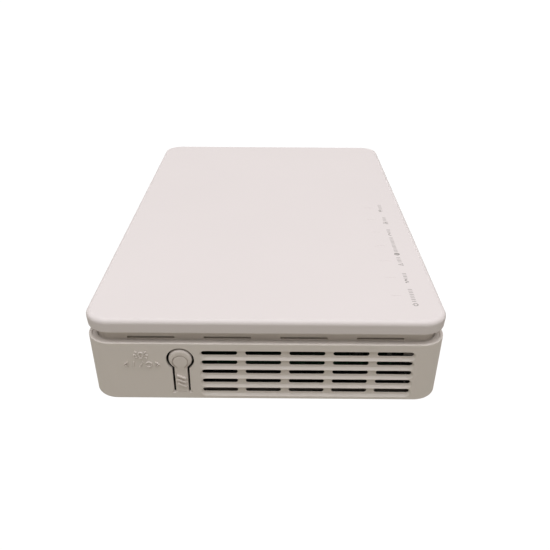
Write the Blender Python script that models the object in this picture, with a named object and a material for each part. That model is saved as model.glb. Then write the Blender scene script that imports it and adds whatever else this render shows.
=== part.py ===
"""Optical network terminal: a flat white wall or desk box for a fibre line.

The origin is the middle of the resting plane. +X points to the indicator edge, +Y from
the light-button side to the far side, +Z up. Everything is in metres.
"""

import math

import bmesh
import bpy
from mathutils import Matrix, Vector

# ---- driving dimensions -----------------------------------------------------------
COVER_WIDTH = 0.110
COVER_DEPTH = 0.175
COVER_TOP_Z = 0.0302
COVER_LOWER_Z = 0.0256
COVER_CORNER_R = 0.008
COVER_EDGE_R = 0.0015
COVER_TAPER = 0.0002
COVER_SIDE = 0.0023
COVER_SKIN = 0.002
TONGUE = (0.0012, 0.0080, 0.0235)     # thickness, width, lower end
TONGUE_YS = (-0.055, 0.0, 0.055)

FOOT_STAND = 0.0006
RIM_Z = 0.0221
RIM_CORNER_R = 0.008
RIM_EDGE_R = 0.0005
RIM_LIP = (0.0011, 0.00035)       # width and height of the raised lip along the rim
FLOOR_EDGE_R = 0.0006
WALL_DRAFT = math.radians(2.5)    # of the two end walls
SIDE_DRAFT = math.radians(1.0)    # of the two long walls
HOUSING_WALL = 0.0026
FLOOR_SKIN = 0.002
FLOOR_Z = FOOT_STAND + FLOOR_SKIN

NECK_INSET = 0.003
NECK_WALL = 0.0015
NECK_CORNER_R = 0.005
NECK_SKIRT = (0.00275, 0.0213)    # inset and lower end of the skirt that fills the ledge
NECK_LOWER_Z = 0.0206
NECK_VENT = (0.0144, 0.0006)
NECK_VENT_PITCH = 0.02335
NECK_END_VENTS, NECK_SIDE_VENTS = 4, 6
POST = (0.0036, 0.0125, 0.0270)   # radius, lower and upper end of the neck's screw posts
PILOT = (0.0014, 0.0115, 0.0215)
BOSS = (0.0044, 0.0122)           # radius and top of the floor's bosses below them
SHANK_HOLE_R = 0.0016
BOARD_BOSS_R = 0.0030
BOARD_BOSS_SINK = 0.0005          # how deep a boss starts in the floor

OVER = 0.001                      # how far a cutter runs past a face
GAP = 0.0003                      # clearance between pieces that sit against each other

GRILLE_ROWS = 5
GRILLE_COLUMNS = 5
GRILLE_FIRST_X = -0.01417
GRILLE_COLUMN_PITCH = 0.01345
GRILLE_ROW_PITCH = 0.00356
GRILLE_FIRST_DROP = 0.00385       # measured down the drafted wall from the rim
GRILLE_SLOT = (0.0110, 0.0015)
CHANNEL_SIZE = (0.0660, 0.0028)
CHANNEL_DROP = 0.0002             # the channel's middle lies below its slots' middle
CHANNEL_DEPTH = 0.0007

BUTTON_X = -0.02615
BUTTON_DROP = 0.00609
BUTTON_HEAD_R = 0.0036
BUTTON_OPENING_R = 0.0043
BUTTON_PROUD = 0.00025
STEM_HALF_WIDTH = 0.0020
STEM_SLOT_TOP = 0.00268
STEM_SLOT_FOOT = 0.00262
STEM_THICKNESS = 0.0016
STEM_SINK = 0.00005               # how far the stem's face lies behind the wall's
BUTTON_BEVEL = 0.0004
BUTTON_DISH = (0.0080, 0.0006)    # radius and depth of the head's dish
RIB = (0.0013, 0.00015, 0.0005, 0.0002)   # half width, how proud, depth of root, half height
RIB_SLANT = math.radians(27)
RIB_COUNT, RIB_FIRST, RIB_PITCH = 3, 0.0064, 0.00158
ROOT_DROP = 0.0187
ROOT_GAP = 0.00006                # the living hinge is one moulding; this is its bend line
NUB_Z = 0.0102
NUB = (0.0012, 0.0086, 0.0008)    # half width, reach behind the bend line, half height
LIGHT_SWITCH_Y = (-0.0735, -0.0695)
LIGHT_SWITCH = (0.0030, 0.0132)   # half width, top
LIGHT_SWITCH_WELL = (0.0014, 0.0020)      # radius, depth
LIGHT_PLUNGER = (0.0011, 0.0034, 0.0012)  # radius, reach in front of the switch and into it

BOARD_LOW = Vector((-0.050, -0.074, 0.0054))
BOARD_HIGH = Vector((0.0475, 0.074, 0.0070))
BOARD_TOP = BOARD_HIGH.z

JACK_FACE_X = -0.0541
WINDOW_X = (-0.0560, -0.0495)     # the rear wall's openings run through this
LAN_JACK = (0.018, 0.0158, 0.0132)
LAN_MOUTH = (0.0119, 0.0070, 0.0125, 0.0038)   # width, height, depth, sill
LAN_NOTCH = (0.0062, 0.0024)      # width, height
LAN_FIRST_Y = -0.0115
LAN_PITCH = 0.018
LAN_COUNT = 4
TEL_JACK = (0.016, 0.0132, 0.0122)
TEL_MOUTH = (0.0098, 0.0066, 0.0115, 0.0036)
TEL_NOTCH = (0.0040, 0.0022)
TEL_Y = -0.030
NOTCH_SHARE = 0.8                 # of its mouth's depth
RESET_Y = -0.0415
RESET_Z = 0.0105
PINHOLE_R = 0.0010
RESET_PLUNGER = (0.0013, -0.0502, 0.0012)      # radius, outer end, reach into the switch
RESET_SWITCH_X = -0.0468
RESET_SWITCH = (0.0040, 0.0030, 0.0134, 0.0020)   # depth, half width, top, depth of well
POWER_JACK = (0.014, 0.0090, 0.0110)
POWER_JACK_Y = -0.051
POWER_AXIS_Z = BOARD_TOP + 0.0062
POWER_BORE = (0.0032, 0.0100)
POWER_PIN_R = 0.0010
POWER_BUTTON_Y = -0.064
POWER_BUTTON = (0.0036, 0.0072, 0.0072)
POWER_BUTTON_Z = 0.0125
POWER_BUTTON_X = -0.0550
POWER_BUTTON_BEVEL = 0.0005
POWER_SWITCH_X = -0.0480
POWER_SWITCH = (0.0110, 0.0038, 0.0090, 0.0055)   # depth, half width, height, depth of well
POWER_STEM_HALF = 0.0015
FIBRE_Y = 0.062
FIBRE_ADAPTER = (0.014, 0.0110, 0.0120)
FIBRE_FACE_X = JACK_FACE_X + 0.0008
FIBRE_AXIS_Z = BOARD_TOP + 0.0055
FIBRE_HOOD = 0.0015               # how far the ears rise above the adapter's body
FIBRE_MOUTH = (0.0076, 0.0092, 0.0120)
FIBRE_SLEEVE_R = 0.0022
EAR = (0.0017, 0.0020, 0.0011)    # reach in front of the face and behind it, outer edge past the flap
FIBRE_HEADROOM = 0.0004           # extra height of its window in the wall
EAR_ROOT = (0.0019, 0.0007, 0.0005)       # reach behind the face, depth below and height above the body
FLAP_STAND = 0.0011               # hinge axis in front of the adapter face
FLAP = (0.0008, 0.0086, 0.0108)   # thickness, width, drop below the hinge
FLAP_BARREL_R = 0.0006
OPTICAL_MODULE = (0.0200, 0.0120, 0.0085)

LED_X = 0.0410
LED_FIRST_Y = -0.0720
LED_PITCH = 0.0122
LED_COUNT = 7
STATUS_LED = (0.0016, 0.0030, 0.0008)
GUIDE_BAR = (0.0010, 0.0020, 0.0180, 0.0205)   # half width, run past the end lamps, low, high
GUIDE_FINGER = (0.0016, 0.0006, 0.0012)        # half width, half length, height above the board

HEATSINK_AT = (0.006, 0.008)
HEATSINK = (0.015, 0.009, 0.0016)     # half side, height, height above the board
HEATSINK_FINS = 8
HEATSINK_GROOVE = (0.0012, 0.0018)    # half width, thickness of the base
CAPACITOR = (0.0040, 0.0115, 0.0005)  # radius, height, edge
CAPACITORS_AT = ((-0.010, -0.062), (-0.010, -0.050), (0.001, -0.062))
BOARD_HOLE_R = 0.0015
LEAD_R = 0.00055
ANTENNA_Z = (0.0040, 0.0165)

CASE_SCREW_AT = (0.0473, 0.0799)
CASE_SCREW_HEAD = (0.0027, 0.0020)
CASE_SCREW_SHANK = (0.00115, 0.0120)
SCREW_WELL_Z = 0.0080
BOARD_SCREW_HEAD = (0.0024, 0.0014)
BOARD_SCREW_SHANK = (0.00095, 0.0035)
SCREW_SIDES = 20
DRIVE_REACH, DRIVE_WIDTH, DRIVE_DEPTH = 0.0014, 0.0003, 0.0008
SEAT_GAP = 0.0001                 # under what is soldered, screwed or stuck to a surface
BOARD_SCREWS = ((-0.0420, -0.0710), (0.0300, -0.0705), (-0.0420, 0.0710), (0.0350, 0.0705))
FOOT_AT = (0.0400, 0.0640)
FOOT_R = 0.0040
FOOT_POCKET = (0.0043, 0.0008)    # radius, depth
KEYHOLE_Y = 0.0500
KEYHOLE_X = (0.0320, 0.0415)      # middle of the mouth, end of the neck
KEYHOLE_R, KEYHOLE_NECK_HALF = 0.0040, 0.0019
FLOOR_VENT = (0.0480, 0.0016)
FLOOR_VENT_PITCH = 0.0032
FLOOR_VENT_ROWS = 11
FLOOR_VENT_Y = 0.0310
LABEL_LOW, LABEL_HIGH = (-0.0195, -0.0715), (0.0195, -0.0560)
LABEL_MARGIN, LABEL_DEPTH, LABEL_FILM = 0.0005, 0.0005, 0.0002

SMOOTH_ANGLE = math.radians(35)

# ---- colours ----------------------------------------------------------------------
COLOURS = {
    "cover_white": ((0.80, 0.78, 0.76), 0.45, 0.0),
    "housing_white": ((0.76, 0.74, 0.71), 0.50, 0.0),
    "button_white": ((0.78, 0.76, 0.73), 0.42, 0.0),
    "board_green": ((0.03, 0.18, 0.08), 0.45, 0.0),
    "chip_black": ((0.03, 0.03, 0.035), 0.55, 0.0),
    "socket_black": ((0.04, 0.04, 0.045), 0.50, 0.0),
    "socket_grey": ((0.30, 0.30, 0.31), 0.50, 0.0),
    "adapter_green": ((0.02, 0.22, 0.10), 0.45, 0.0),
    "tin_plate": ((0.72, 0.73, 0.74), 0.30, 1.0),
    "aluminium_fin": ((0.75, 0.76, 0.78), 0.40, 1.0),
    "capacitor_sleeve": ((0.05, 0.05, 0.09), 0.35, 0.0),
    "ferrite_grey": ((0.16, 0.16, 0.17), 0.60, 0.0),
    "led_lens": ((0.85, 0.88, 0.80), 0.25, 0.0),
    "clear_acrylic": ((0.85, 0.88, 0.90), 0.10, 0.0),
    "antenna_board": ((0.05, 0.10, 0.16), 0.45, 0.0),
    "coax_jacket": ((0.22, 0.22, 0.23), 0.50, 0.0),
    "zinc_screw": ((0.60, 0.60, 0.58), 0.35, 1.0),
    "foot_rubber": ((0.32, 0.32, 0.32), 0.85, 0.0),
    "label_film": ((0.78, 0.78, 0.77), 0.40, 0.0),
}


def material(name):
    """Return the named Principled material, made on first use."""
    found = bpy.data.materials.get(name)
    if found:
        return found
    colour, roughness, metallic = COLOURS[name]
    made = bpy.data.materials.new(name)
    made.use_nodes = True
    shader = made.node_tree.nodes["Principled BSDF"]
    shader.inputs["Base Color"].default_value = (*colour, 1.0)
    shader.inputs["Roughness"].default_value = roughness
    shader.inputs["Metallic"].default_value = metallic
    return made


# ---- modelling helpers ------------------------------------------------------------
def clear_scene():
    """Remove every object, so that the script starts from nothing."""
    for obj in list(bpy.data.objects):
        bpy.data.objects.remove(obj, do_unlink=True)


def collection(name):
    """Return the named collection, linked to the scene."""
    found = bpy.data.collections.get(name)
    if not found:
        found = bpy.data.collections.new(name)
        bpy.context.scene.collection.children.link(found)
    return found


def add_box(bm, low, high):
    """Add a box between two corners and return its vertices."""
    low, high = Vector(low), Vector(high)
    place = Matrix.Translation((low + high) / 2) @ Matrix.Diagonal((*(high - low), 1.0))
    return bmesh.ops.create_cube(bm, size=1.0, matrix=place)["verts"]


def add_cylinder(bm, radius, start, end, segments=24, end_radius=None):
    """Add a capped cylinder or cone from start to end."""
    start, end = Vector(start), Vector(end)
    run = end - start
    turn = run.to_track_quat("Z", "Y").to_matrix().to_4x4()
    made = bmesh.ops.create_cone(
        bm, cap_ends=True, segments=segments, radius1=radius,
        radius2=radius if end_radius is None else end_radius, depth=run.length,
        matrix=Matrix.Translation((start + end) / 2) @ turn)
    return made["verts"]


def vertical_edges(verts):
    """Return the edges of a block that join its lower and upper faces."""
    edges = {edge for vert in verts for edge in vert.link_edges}
    return [e for e in edges if abs(e.verts[0].co.z - e.verts[1].co.z) > 1e-6]


def level_edges(bm, z):
    """Return the boundary edges of the flat face at height z."""
    return [e for e in bm.edges if all(abs(v.co.z - z) < 1e-7 for v in e.verts)]


def add_rounded_block(bm, size, low_z, high_z, corner_r, segments=6, centre=(0.0, 0.0)):
    """Add an upright block with rounded vertical corners to an empty mesh."""
    half_x, half_y = size[0] / 2, size[1] / 2
    verts = add_box(bm, (centre[0] - half_x, centre[1] - half_y, low_z),
                    (centre[0] + half_x, centre[1] + half_y, high_z))
    bmesh.ops.bevel(bm, geom=vertical_edges(verts), offset=corner_r, segments=segments,
                    profile=0.5, affect="EDGES")


def round_level(bm, z, radius, segments=3):
    """Round the edge of the flat face at height z."""
    bmesh.ops.bevel(bm, geom=level_edges(bm, z), offset=radius, segments=segments,
                    profile=0.5, affect="EDGES")


def scale_level(bm, z, factor_x, factor_y):
    """Pull the vertices at height z towards the Z axis, which gives the sides a draft."""
    for vert in bm.verts:
        if abs(vert.co.z - z) < 1e-7:
            vert.co.x *= factor_x
            vert.co.y *= factor_y


def add_stadium(bm, length, height, depth, place, end_segments=4):
    """Add a slot-shaped prism, long along X and deep along Y, at a placing matrix."""
    radius = height / 2
    reach = length / 2 - radius
    outline = []
    for side in (1, -1):
        for step in range(end_segments + 1):
            angle = math.pi * step / end_segments - math.pi / 2
            outline.append((side * (reach + radius * math.cos(angle)),
                            side * radius * math.sin(angle)))
    rim = [bm.verts.new(place @ Vector((x, -depth / 2, z))) for x, z in outline]
    face = bm.faces.new(rim)
    face.normal_update()
    grown = bmesh.ops.extrude_face_region(bm, geom=[face])["geom"]
    shift = place.to_3x3() @ Vector((0, depth, 0))
    bmesh.ops.translate(bm, vec=shift, verts=[g for g in grown if isinstance(g, bmesh.types.BMVert)])


def pull_faces(bm, faces, shift):
    """Extrude flat faces by a shift and drop the faces that the walls now enclose."""
    grown = bmesh.ops.extrude_face_region(bm, geom=faces)["geom"]
    moved = [item for item in grown if isinstance(item, bmesh.types.BMVert)]
    bmesh.ops.translate(bm, vec=shift, verts=moved)
    bmesh.ops.delete(bm, geom=faces, context="FACES_ONLY")


def finish_mesh(obj, bm):
    """Write a bmesh into an object's mesh with outward faces and smooth shading."""
    bmesh.ops.recalc_face_normals(bm, faces=bm.faces)
    bm.to_mesh(obj.data)
    bm.free()
    obj.data.shade_smooth()
    obj.data.set_sharp_from_angle(angle=SMOOTH_ANGLE)


def solid(name, build, material_name, location=(0, 0, 0), rotation=(0, 0, 0)):
    """Make a named part from a function that fills a bmesh."""
    obj = bpy.data.objects.new(name, bpy.data.meshes.new(name))
    bm = bmesh.new()
    build(bm)
    finish_mesh(obj, bm)
    obj.location = location
    obj.rotation_euler = rotation
    obj.data.materials.append(material(material_name))
    collection("optical_network_terminal").objects.link(obj)
    return obj


def tool(name, build):
    """Make a cutter or a joining shape, which is no part of the object."""
    obj = bpy.data.objects.new(name, bpy.data.meshes.new(name))
    bm = bmesh.new()
    build(bm)
    finish_mesh(obj, bm)
    obj.hide_render = True
    obj.display_type = "WIRE"
    collection("cutters").objects.link(obj)
    return obj


def combine(target, other, operation):
    """Add an exact Boolean modifier to the target."""
    modifier = target.modifiers.new(f"{operation.lower()}_{other.name}", "BOOLEAN")
    modifier.operation = operation
    modifier.solver = "EXACT"
    modifier.object = other


def cut(target, name, build):
    """Cut the shape that build makes out of the target."""
    combine(target, tool(name, build), "DIFFERENCE")


def join(target, name, build):
    """Join the shape that build makes to the target."""
    combine(target, tool(name, build), "UNION")


def corners(spot):
    """Return the four mirror places of one spot."""
    return [(sx * spot[0], sy * spot[1]) for sy in (-1, 1) for sx in (-1, 1)]


def evenly(count, pitch):
    """Return evenly spaced places about zero."""
    return [(index - (count - 1) / 2) * pitch for index in range(count)]


def wall_place(x, drop, side=-1):
    """Place a shape on the drafted end wall: drop is measured down the wall from the rim."""
    y = side * (COVER_DEPTH / 2 - drop * math.sin(WALL_DRAFT))
    z = RIM_Z - drop * math.cos(WALL_DRAFT)
    return Matrix.Translation((x, y, z)) @ Matrix.Rotation(-side * WALL_DRAFT, 4, "X")


# ---- enclosure --------------------------------------------------------------------
def make_top_cover():
    """Shallow lid with a rounded top edge, a tapering rim and six snap tongues."""
    def shell(bm):
        add_rounded_block(bm, (COVER_WIDTH, COVER_DEPTH), COVER_LOWER_Z, COVER_TOP_Z,
                          COVER_CORNER_R, segments=10)
        round_level(bm, COVER_TOP_Z, COVER_EDGE_R, segments=4)
        scale_level(bm, COVER_LOWER_Z, 1 - 2 * COVER_TAPER / COVER_WIDTH,
                    1 - 2 * COVER_TAPER / COVER_DEPTH)

    def hollow(bm):
        add_rounded_block(bm, (COVER_WIDTH - 2 * COVER_SIDE, COVER_DEPTH - 2 * COVER_SIDE),
                          COVER_LOWER_Z - OVER, COVER_TOP_Z - COVER_SKIN,
                          COVER_CORNER_R - COVER_SIDE)

    def tongues(bm):
        inner_x = COVER_WIDTH / 2 - NECK_INSET - NECK_WALL - GAP
        for side in (-1, 1):
            for y in TONGUE_YS:
                edge = sorted((side * inner_x, side * (inner_x - TONGUE[0])))
                add_box(bm, (edge[0], y - TONGUE[1] / 2, TONGUE[2]),
                        (edge[1], y + TONGUE[1] / 2, COVER_TOP_Z - COVER_SKIN / 2))

    cover = solid("top_cover", shell, "cover_white")
    cut(cover, "cover_hollow", hollow)
    join(cover, "cover_tongues", tongues)


def make_vent_frame():
    """Recessed neck between cover and housing, with thin vents and four screw posts."""
    width = COVER_WIDTH - 2 * NECK_INSET
    depth = COVER_DEPTH - 2 * NECK_INSET
    upper_z = COVER_TOP_Z - COVER_SKIN - GAP
    half_vent, vent_low = NECK_VENT[0] / 2, RIM_Z + 0.00005
    vent_high = vent_low + NECK_VENT[1]

    def ring(bm):
        add_rounded_block(bm, (width, depth), NECK_LOWER_Z, upper_z, NECK_CORNER_R)

    def skirt(bm):
        inset, low_z = NECK_SKIRT
        add_rounded_block(bm, (COVER_WIDTH - 2 * inset, COVER_DEPTH - 2 * inset), low_z, RIM_Z - RIM_LIP[1],
                          RIM_CORNER_R - inset)

    def bore(bm):
        add_rounded_block(bm, (width - 2 * NECK_WALL, depth - 2 * NECK_WALL),
                          NECK_LOWER_Z - OVER, upper_z + OVER, NECK_CORNER_R - NECK_WALL)

    def vents(bm):
        for side in (-1, 1):
            for x in evenly(NECK_END_VENTS, NECK_VENT_PITCH):
                y = side * (depth - NECK_WALL) / 2
                add_box(bm, (x - half_vent, y - NECK_WALL, vent_low),
                        (x + half_vent, y + NECK_WALL, vent_high))
            for y in evenly(NECK_SIDE_VENTS, NECK_VENT_PITCH):
                x = side * (width - NECK_WALL) / 2
                add_box(bm, (x - NECK_WALL, y - half_vent, vent_low),
                        (x + NECK_WALL, y + half_vent, vent_high))

    def posts(bm):
        for x, y in corners(CASE_SCREW_AT):
            add_cylinder(bm, POST[0], (x, y, POST[1]), (x, y, POST[2]))

    def pilots(bm):
        for x, y in corners(CASE_SCREW_AT):
            add_cylinder(bm, PILOT[0], (x, y, PILOT[1]), (x, y, PILOT[2]), segments=12)

    frame = solid("vent_frame", ring, "housing_white")
    join(frame, "neck_skirt", skirt)
    cut(frame, "neck_bore", bore)
    join(frame, "screw_posts", posts)
    cut(frame, "screw_pilots", pilots)
    cut(frame, "neck_vents", vents)


def add_wall_windows(bm):
    """Add the rear wall's openings for sockets, buttons and the pinhole."""
    def window(y, size, low_z, height):
        add_box(bm, (WINDOW_X[0], y - size / 2 - GAP, low_z - GAP),
                (WINDOW_X[1], y + size / 2 + GAP, low_z + height + GAP))

    for index in range(LAN_COUNT):
        window(LAN_FIRST_Y + index * LAN_PITCH, LAN_JACK[1], BOARD_TOP, LAN_JACK[2])
    window(TEL_Y, TEL_JACK[1], BOARD_TOP, TEL_JACK[2])
    window(POWER_JACK_Y, POWER_JACK[1], BOARD_TOP, POWER_JACK[2])
    window(FIBRE_Y, FIBRE_ADAPTER[1], BOARD_TOP, FIBRE_ADAPTER[2] + FIBRE_HEADROOM)
    window(POWER_BUTTON_Y, POWER_BUTTON[1], POWER_BUTTON_Z - POWER_BUTTON[2] / 2, POWER_BUTTON[2])
    add_cylinder(bm, PINHOLE_R, (WINDOW_X[0], RESET_Y, RESET_Z), (WINDOW_X[1], RESET_Y, RESET_Z),
                 segments=16)


def add_grille(bm, side):
    """Add the slots of one end wall's grille."""
    for row in range(GRILLE_ROWS):
        for column in range(GRILLE_COLUMNS):
            place = wall_place(GRILLE_FIRST_X + column * GRILLE_COLUMN_PITCH,
                               GRILLE_FIRST_DROP + row * GRILLE_ROW_PITCH, side)
            add_stadium(bm, *GRILLE_SLOT, 4 * HOUSING_WALL, place)


def add_channels(bm, side):
    """Add the shallow channels that the grille's rows lie in."""
    middle = GRILLE_FIRST_X + (GRILLE_COLUMNS - 1) / 2 * GRILLE_COLUMN_PITCH
    for row in range(GRILLE_ROWS):
        drop = GRILLE_FIRST_DROP + row * GRILLE_ROW_PITCH + CHANNEL_DROP
        add_stadium(bm, *CHANNEL_SIZE, 2 * CHANNEL_DEPTH, wall_place(middle, drop, side))


def add_button_opening(bm):
    """Add the keyhole-shaped opening that frees the light button's tongue."""
    place = wall_place(BUTTON_X, BUTTON_DROP)
    axis = place.to_3x3() @ Vector((0, 1, 0))
    centre = place.translation
    reach = 2 * HOUSING_WALL
    add_cylinder(bm, BUTTON_OPENING_R, centre - axis * reach, centre + axis * reach, segments=40)


def add_stem_opening(bm):
    """Add the tapering slot below the round part of the button opening."""
    place = wall_place(BUTTON_X, ROOT_DROP)
    height = ROOT_DROP - BUTTON_DROP
    verts = add_box(bm, (-1, -2 * HOUSING_WALL, 0), (1, 2 * HOUSING_WALL, height))
    for vert in verts:
        half = STEM_SLOT_FOOT if vert.co.z < height / 2 else STEM_SLOT_TOP
        vert.co.x = math.copysign(half, vert.co.x)
        vert.co = place @ vert.co


def add_floor_openings(bm):
    """Add the floor's vents, wall-mount keyholes, foot pockets and screw wells."""
    above = FLOOR_Z + OVER
    for side in (-1, 1):
        for shift in evenly(FLOOR_VENT_ROWS, FLOOR_VENT_PITCH):
            y = side * FLOOR_VENT_Y + shift
            add_box(bm, (-FLOOR_VENT[0] / 2, y - FLOOR_VENT[1] / 2, -OVER),
                    (FLOOR_VENT[0] / 2, y + FLOOR_VENT[1] / 2, above))
    for x, y in corners(FOOT_AT):
        add_cylinder(bm, FOOT_POCKET[0], (x, y, -OVER), (x, y, FOOT_STAND + FOOT_POCKET[1]))
    for x, y in corners(CASE_SCREW_AT):
        add_cylinder(bm, CASE_SCREW_HEAD[0] + GAP, (x, y, -OVER), (x, y, SCREW_WELL_Z), segments=20)
    for x, y in BOARD_SCREWS:
        add_cylinder(bm, BOARD_SCREW_SHANK[0] + GAP, (x, y, FLOOR_Z - BOARD_BOSS_SINK),
                     (x, y, BOARD_HIGH.z - OVER), segments=12)
    add_box(bm, (LABEL_LOW[0] - LABEL_MARGIN, LABEL_LOW[1] - LABEL_MARGIN, -OVER),
            (LABEL_HIGH[0] + LABEL_MARGIN, LABEL_HIGH[1] + LABEL_MARGIN, FOOT_STAND + LABEL_DEPTH))


def add_keyholes(bm):
    """Add the round mouths of the two keyholes for hanging the box on screws."""
    for y in (-KEYHOLE_Y, KEYHOLE_Y):
        add_cylinder(bm, KEYHOLE_R, (KEYHOLE_X[0], y, -OVER), (KEYHOLE_X[0], y, FLOOR_Z + OVER))


def add_keyhole_necks(bm):
    """Add the keyholes' narrow slots, which run towards +X."""
    for y in (-KEYHOLE_Y, KEYHOLE_Y):
        add_box(bm, (KEYHOLE_X[0], y - KEYHOLE_NECK_HALF, -OVER),
                (KEYHOLE_X[1], y + KEYHOLE_NECK_HALF, FLOOR_Z + OVER))


def make_lower_housing():
    """Open tray with drafted walls: grilles at both ends, sockets through the rear."""
    top = (COVER_WIDTH, COVER_DEPTH)

    def factors(z, shrink=0.0):
        drop = RIM_Z - z
        return [1 - 2 * drop * math.tan(draft) / (side - 2 * shrink)
                for side, draft in zip(top, (SIDE_DRAFT, WALL_DRAFT))]

    def tub(bm):
        add_rounded_block(bm, top, FOOT_STAND, RIM_Z, RIM_CORNER_R, segments=8)
        round_level(bm, RIM_Z, RIM_EDGE_R)
        round_level(bm, FOOT_STAND, FLOOR_EDGE_R, segments=2)
        for vert in bm.verts:
            if vert.co.z < (FOOT_STAND + RIM_Z) / 2:
                factor_x, factor_y = factors(vert.co.z)
                vert.co.x *= factor_x
                vert.co.y *= factor_y

    def hollow(bm):
        size = [side - 2 * HOUSING_WALL for side in top]
        add_rounded_block(bm, size, FLOOR_Z, RIM_Z + OVER, RIM_CORNER_R - HOUSING_WALL)
        scale_level(bm, FLOOR_Z, *factors(FLOOR_Z, HOUSING_WALL))

    def lip(bm):
        width, height = RIM_LIP
        add_rounded_block(bm, [side - 2 * width for side in top], RIM_Z - height, RIM_Z + OVER,
                          RIM_CORNER_R - width)

    def bosses(bm):
        for x, y in corners(CASE_SCREW_AT):
            add_cylinder(bm, BOSS[0], (x, y, FLOOR_Z - BOARD_BOSS_SINK), (x, y, BOSS[1]))
        for x, y in BOARD_SCREWS:
            add_cylinder(bm, BOARD_BOSS_R, (x, y, FLOOR_Z - BOARD_BOSS_SINK),
                         (x, y, BOARD_LOW.z - GAP), segments=16)

    def shank_holes(bm):
        for x, y in corners(CASE_SCREW_AT):
            add_cylinder(bm, SHANK_HOLE_R, (x, y, SCREW_WELL_Z - OVER), (x, y, BOSS[1] + OVER), segments=12)

    housing = solid("lower_housing", tub, "housing_white")
    cut(housing, "housing_hollow", hollow)
    cut(housing, "rim_step", lip)
    join(housing, "housing_bosses", bosses)
    cut(housing, "shank_holes", shank_holes)
    cut(housing, "floor_openings", add_floor_openings)
    cut(housing, "keyholes", add_keyholes)
    cut(housing, "keyhole_necks", add_keyhole_necks)
    cut(housing, "wall_windows", add_wall_windows)
    for side, name in ((-1, "near"), (1, "far")):
        cut(housing, f"{name}_channels", lambda bm, s=side: add_channels(bm, s))
        cut(housing, f"{name}_grille", lambda bm, s=side: add_grille(bm, s))
    cut(housing, "button_opening", add_button_opening)
    cut(housing, "stem_opening", add_stem_opening)


def make_feet():
    """Four soft pads pressed into round pockets in the floor."""
    for index, (x, y) in enumerate(corners(FOOT_AT), start=1):
        def pad(bm):
            add_cylinder(bm, FOOT_R, (0, 0, 0), (0, 0, FOOT_STAND + FOOT_POCKET[1] - GAP))
            round_level(bm, 0.0, GAP, segments=2)
        solid(f"foot_{index}", pad, "foot_rubber", location=(x, y, 0))


def make_rating_label():
    """Blank film in the floor's shallow pocket."""
    low_z = FOOT_STAND + SEAT_GAP
    solid("rating_label", lambda bm: add_box(bm, (*LABEL_LOW, low_z), (*LABEL_HIGH, low_z + LABEL_FILM)),
          "label_film")


def make_screw(name, head, shank, location, turn):
    """Cross-headed pan screw: head and shank are (radius, length), its shank along local +Z."""
    def body(bm):
        add_cylinder(bm, head[0], (0, 0, -head[1]), (0, 0, 0), segments=SCREW_SIDES)
        inner_end = max((f for f in bm.faces if len(f.verts) == SCREW_SIDES),
                        key=lambda f: f.calc_center_median().z)
        bmesh.ops.inset_region(bm, faces=[inner_end], thickness=head[0] - shank[0])
        pull_faces(bm, [inner_end], (0, 0, shank[1]))

    screw = solid(name, body, "zinc_screw", location=location, rotation=(turn, 0, 0))
    for arm, half in (("a", (DRIVE_REACH, DRIVE_WIDTH)), ("b", (DRIVE_WIDTH, DRIVE_REACH))):
        def slot(bm, half_x=half[0], half_y=half[1]):
            add_box(bm, (-half_x, -half_y, -head[1] - OVER), (half_x, half_y, DRIVE_DEPTH - head[1]))
        cutter = tool(f"{name}_drive_{arm}", slot)
        cutter.location = location
        cutter.rotation_euler = (turn, 0, 0)
        combine(screw, cutter, "DIFFERENCE")


def make_screws():
    """Four case screws from below and four board screws from above."""
    for index, (x, y) in enumerate(corners(CASE_SCREW_AT), start=1):
        make_screw(f"case_screw_{index}", CASE_SCREW_HEAD, CASE_SCREW_SHANK,
                   (x, y, SCREW_WELL_Z - GAP), 0.0)
    for index, (x, y) in enumerate(BOARD_SCREWS, start=1):
        make_screw(f"board_screw_{index}", BOARD_SCREW_HEAD, BOARD_SCREW_SHANK,
                   (x, y, BOARD_TOP + SEAT_GAP), math.pi)


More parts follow.
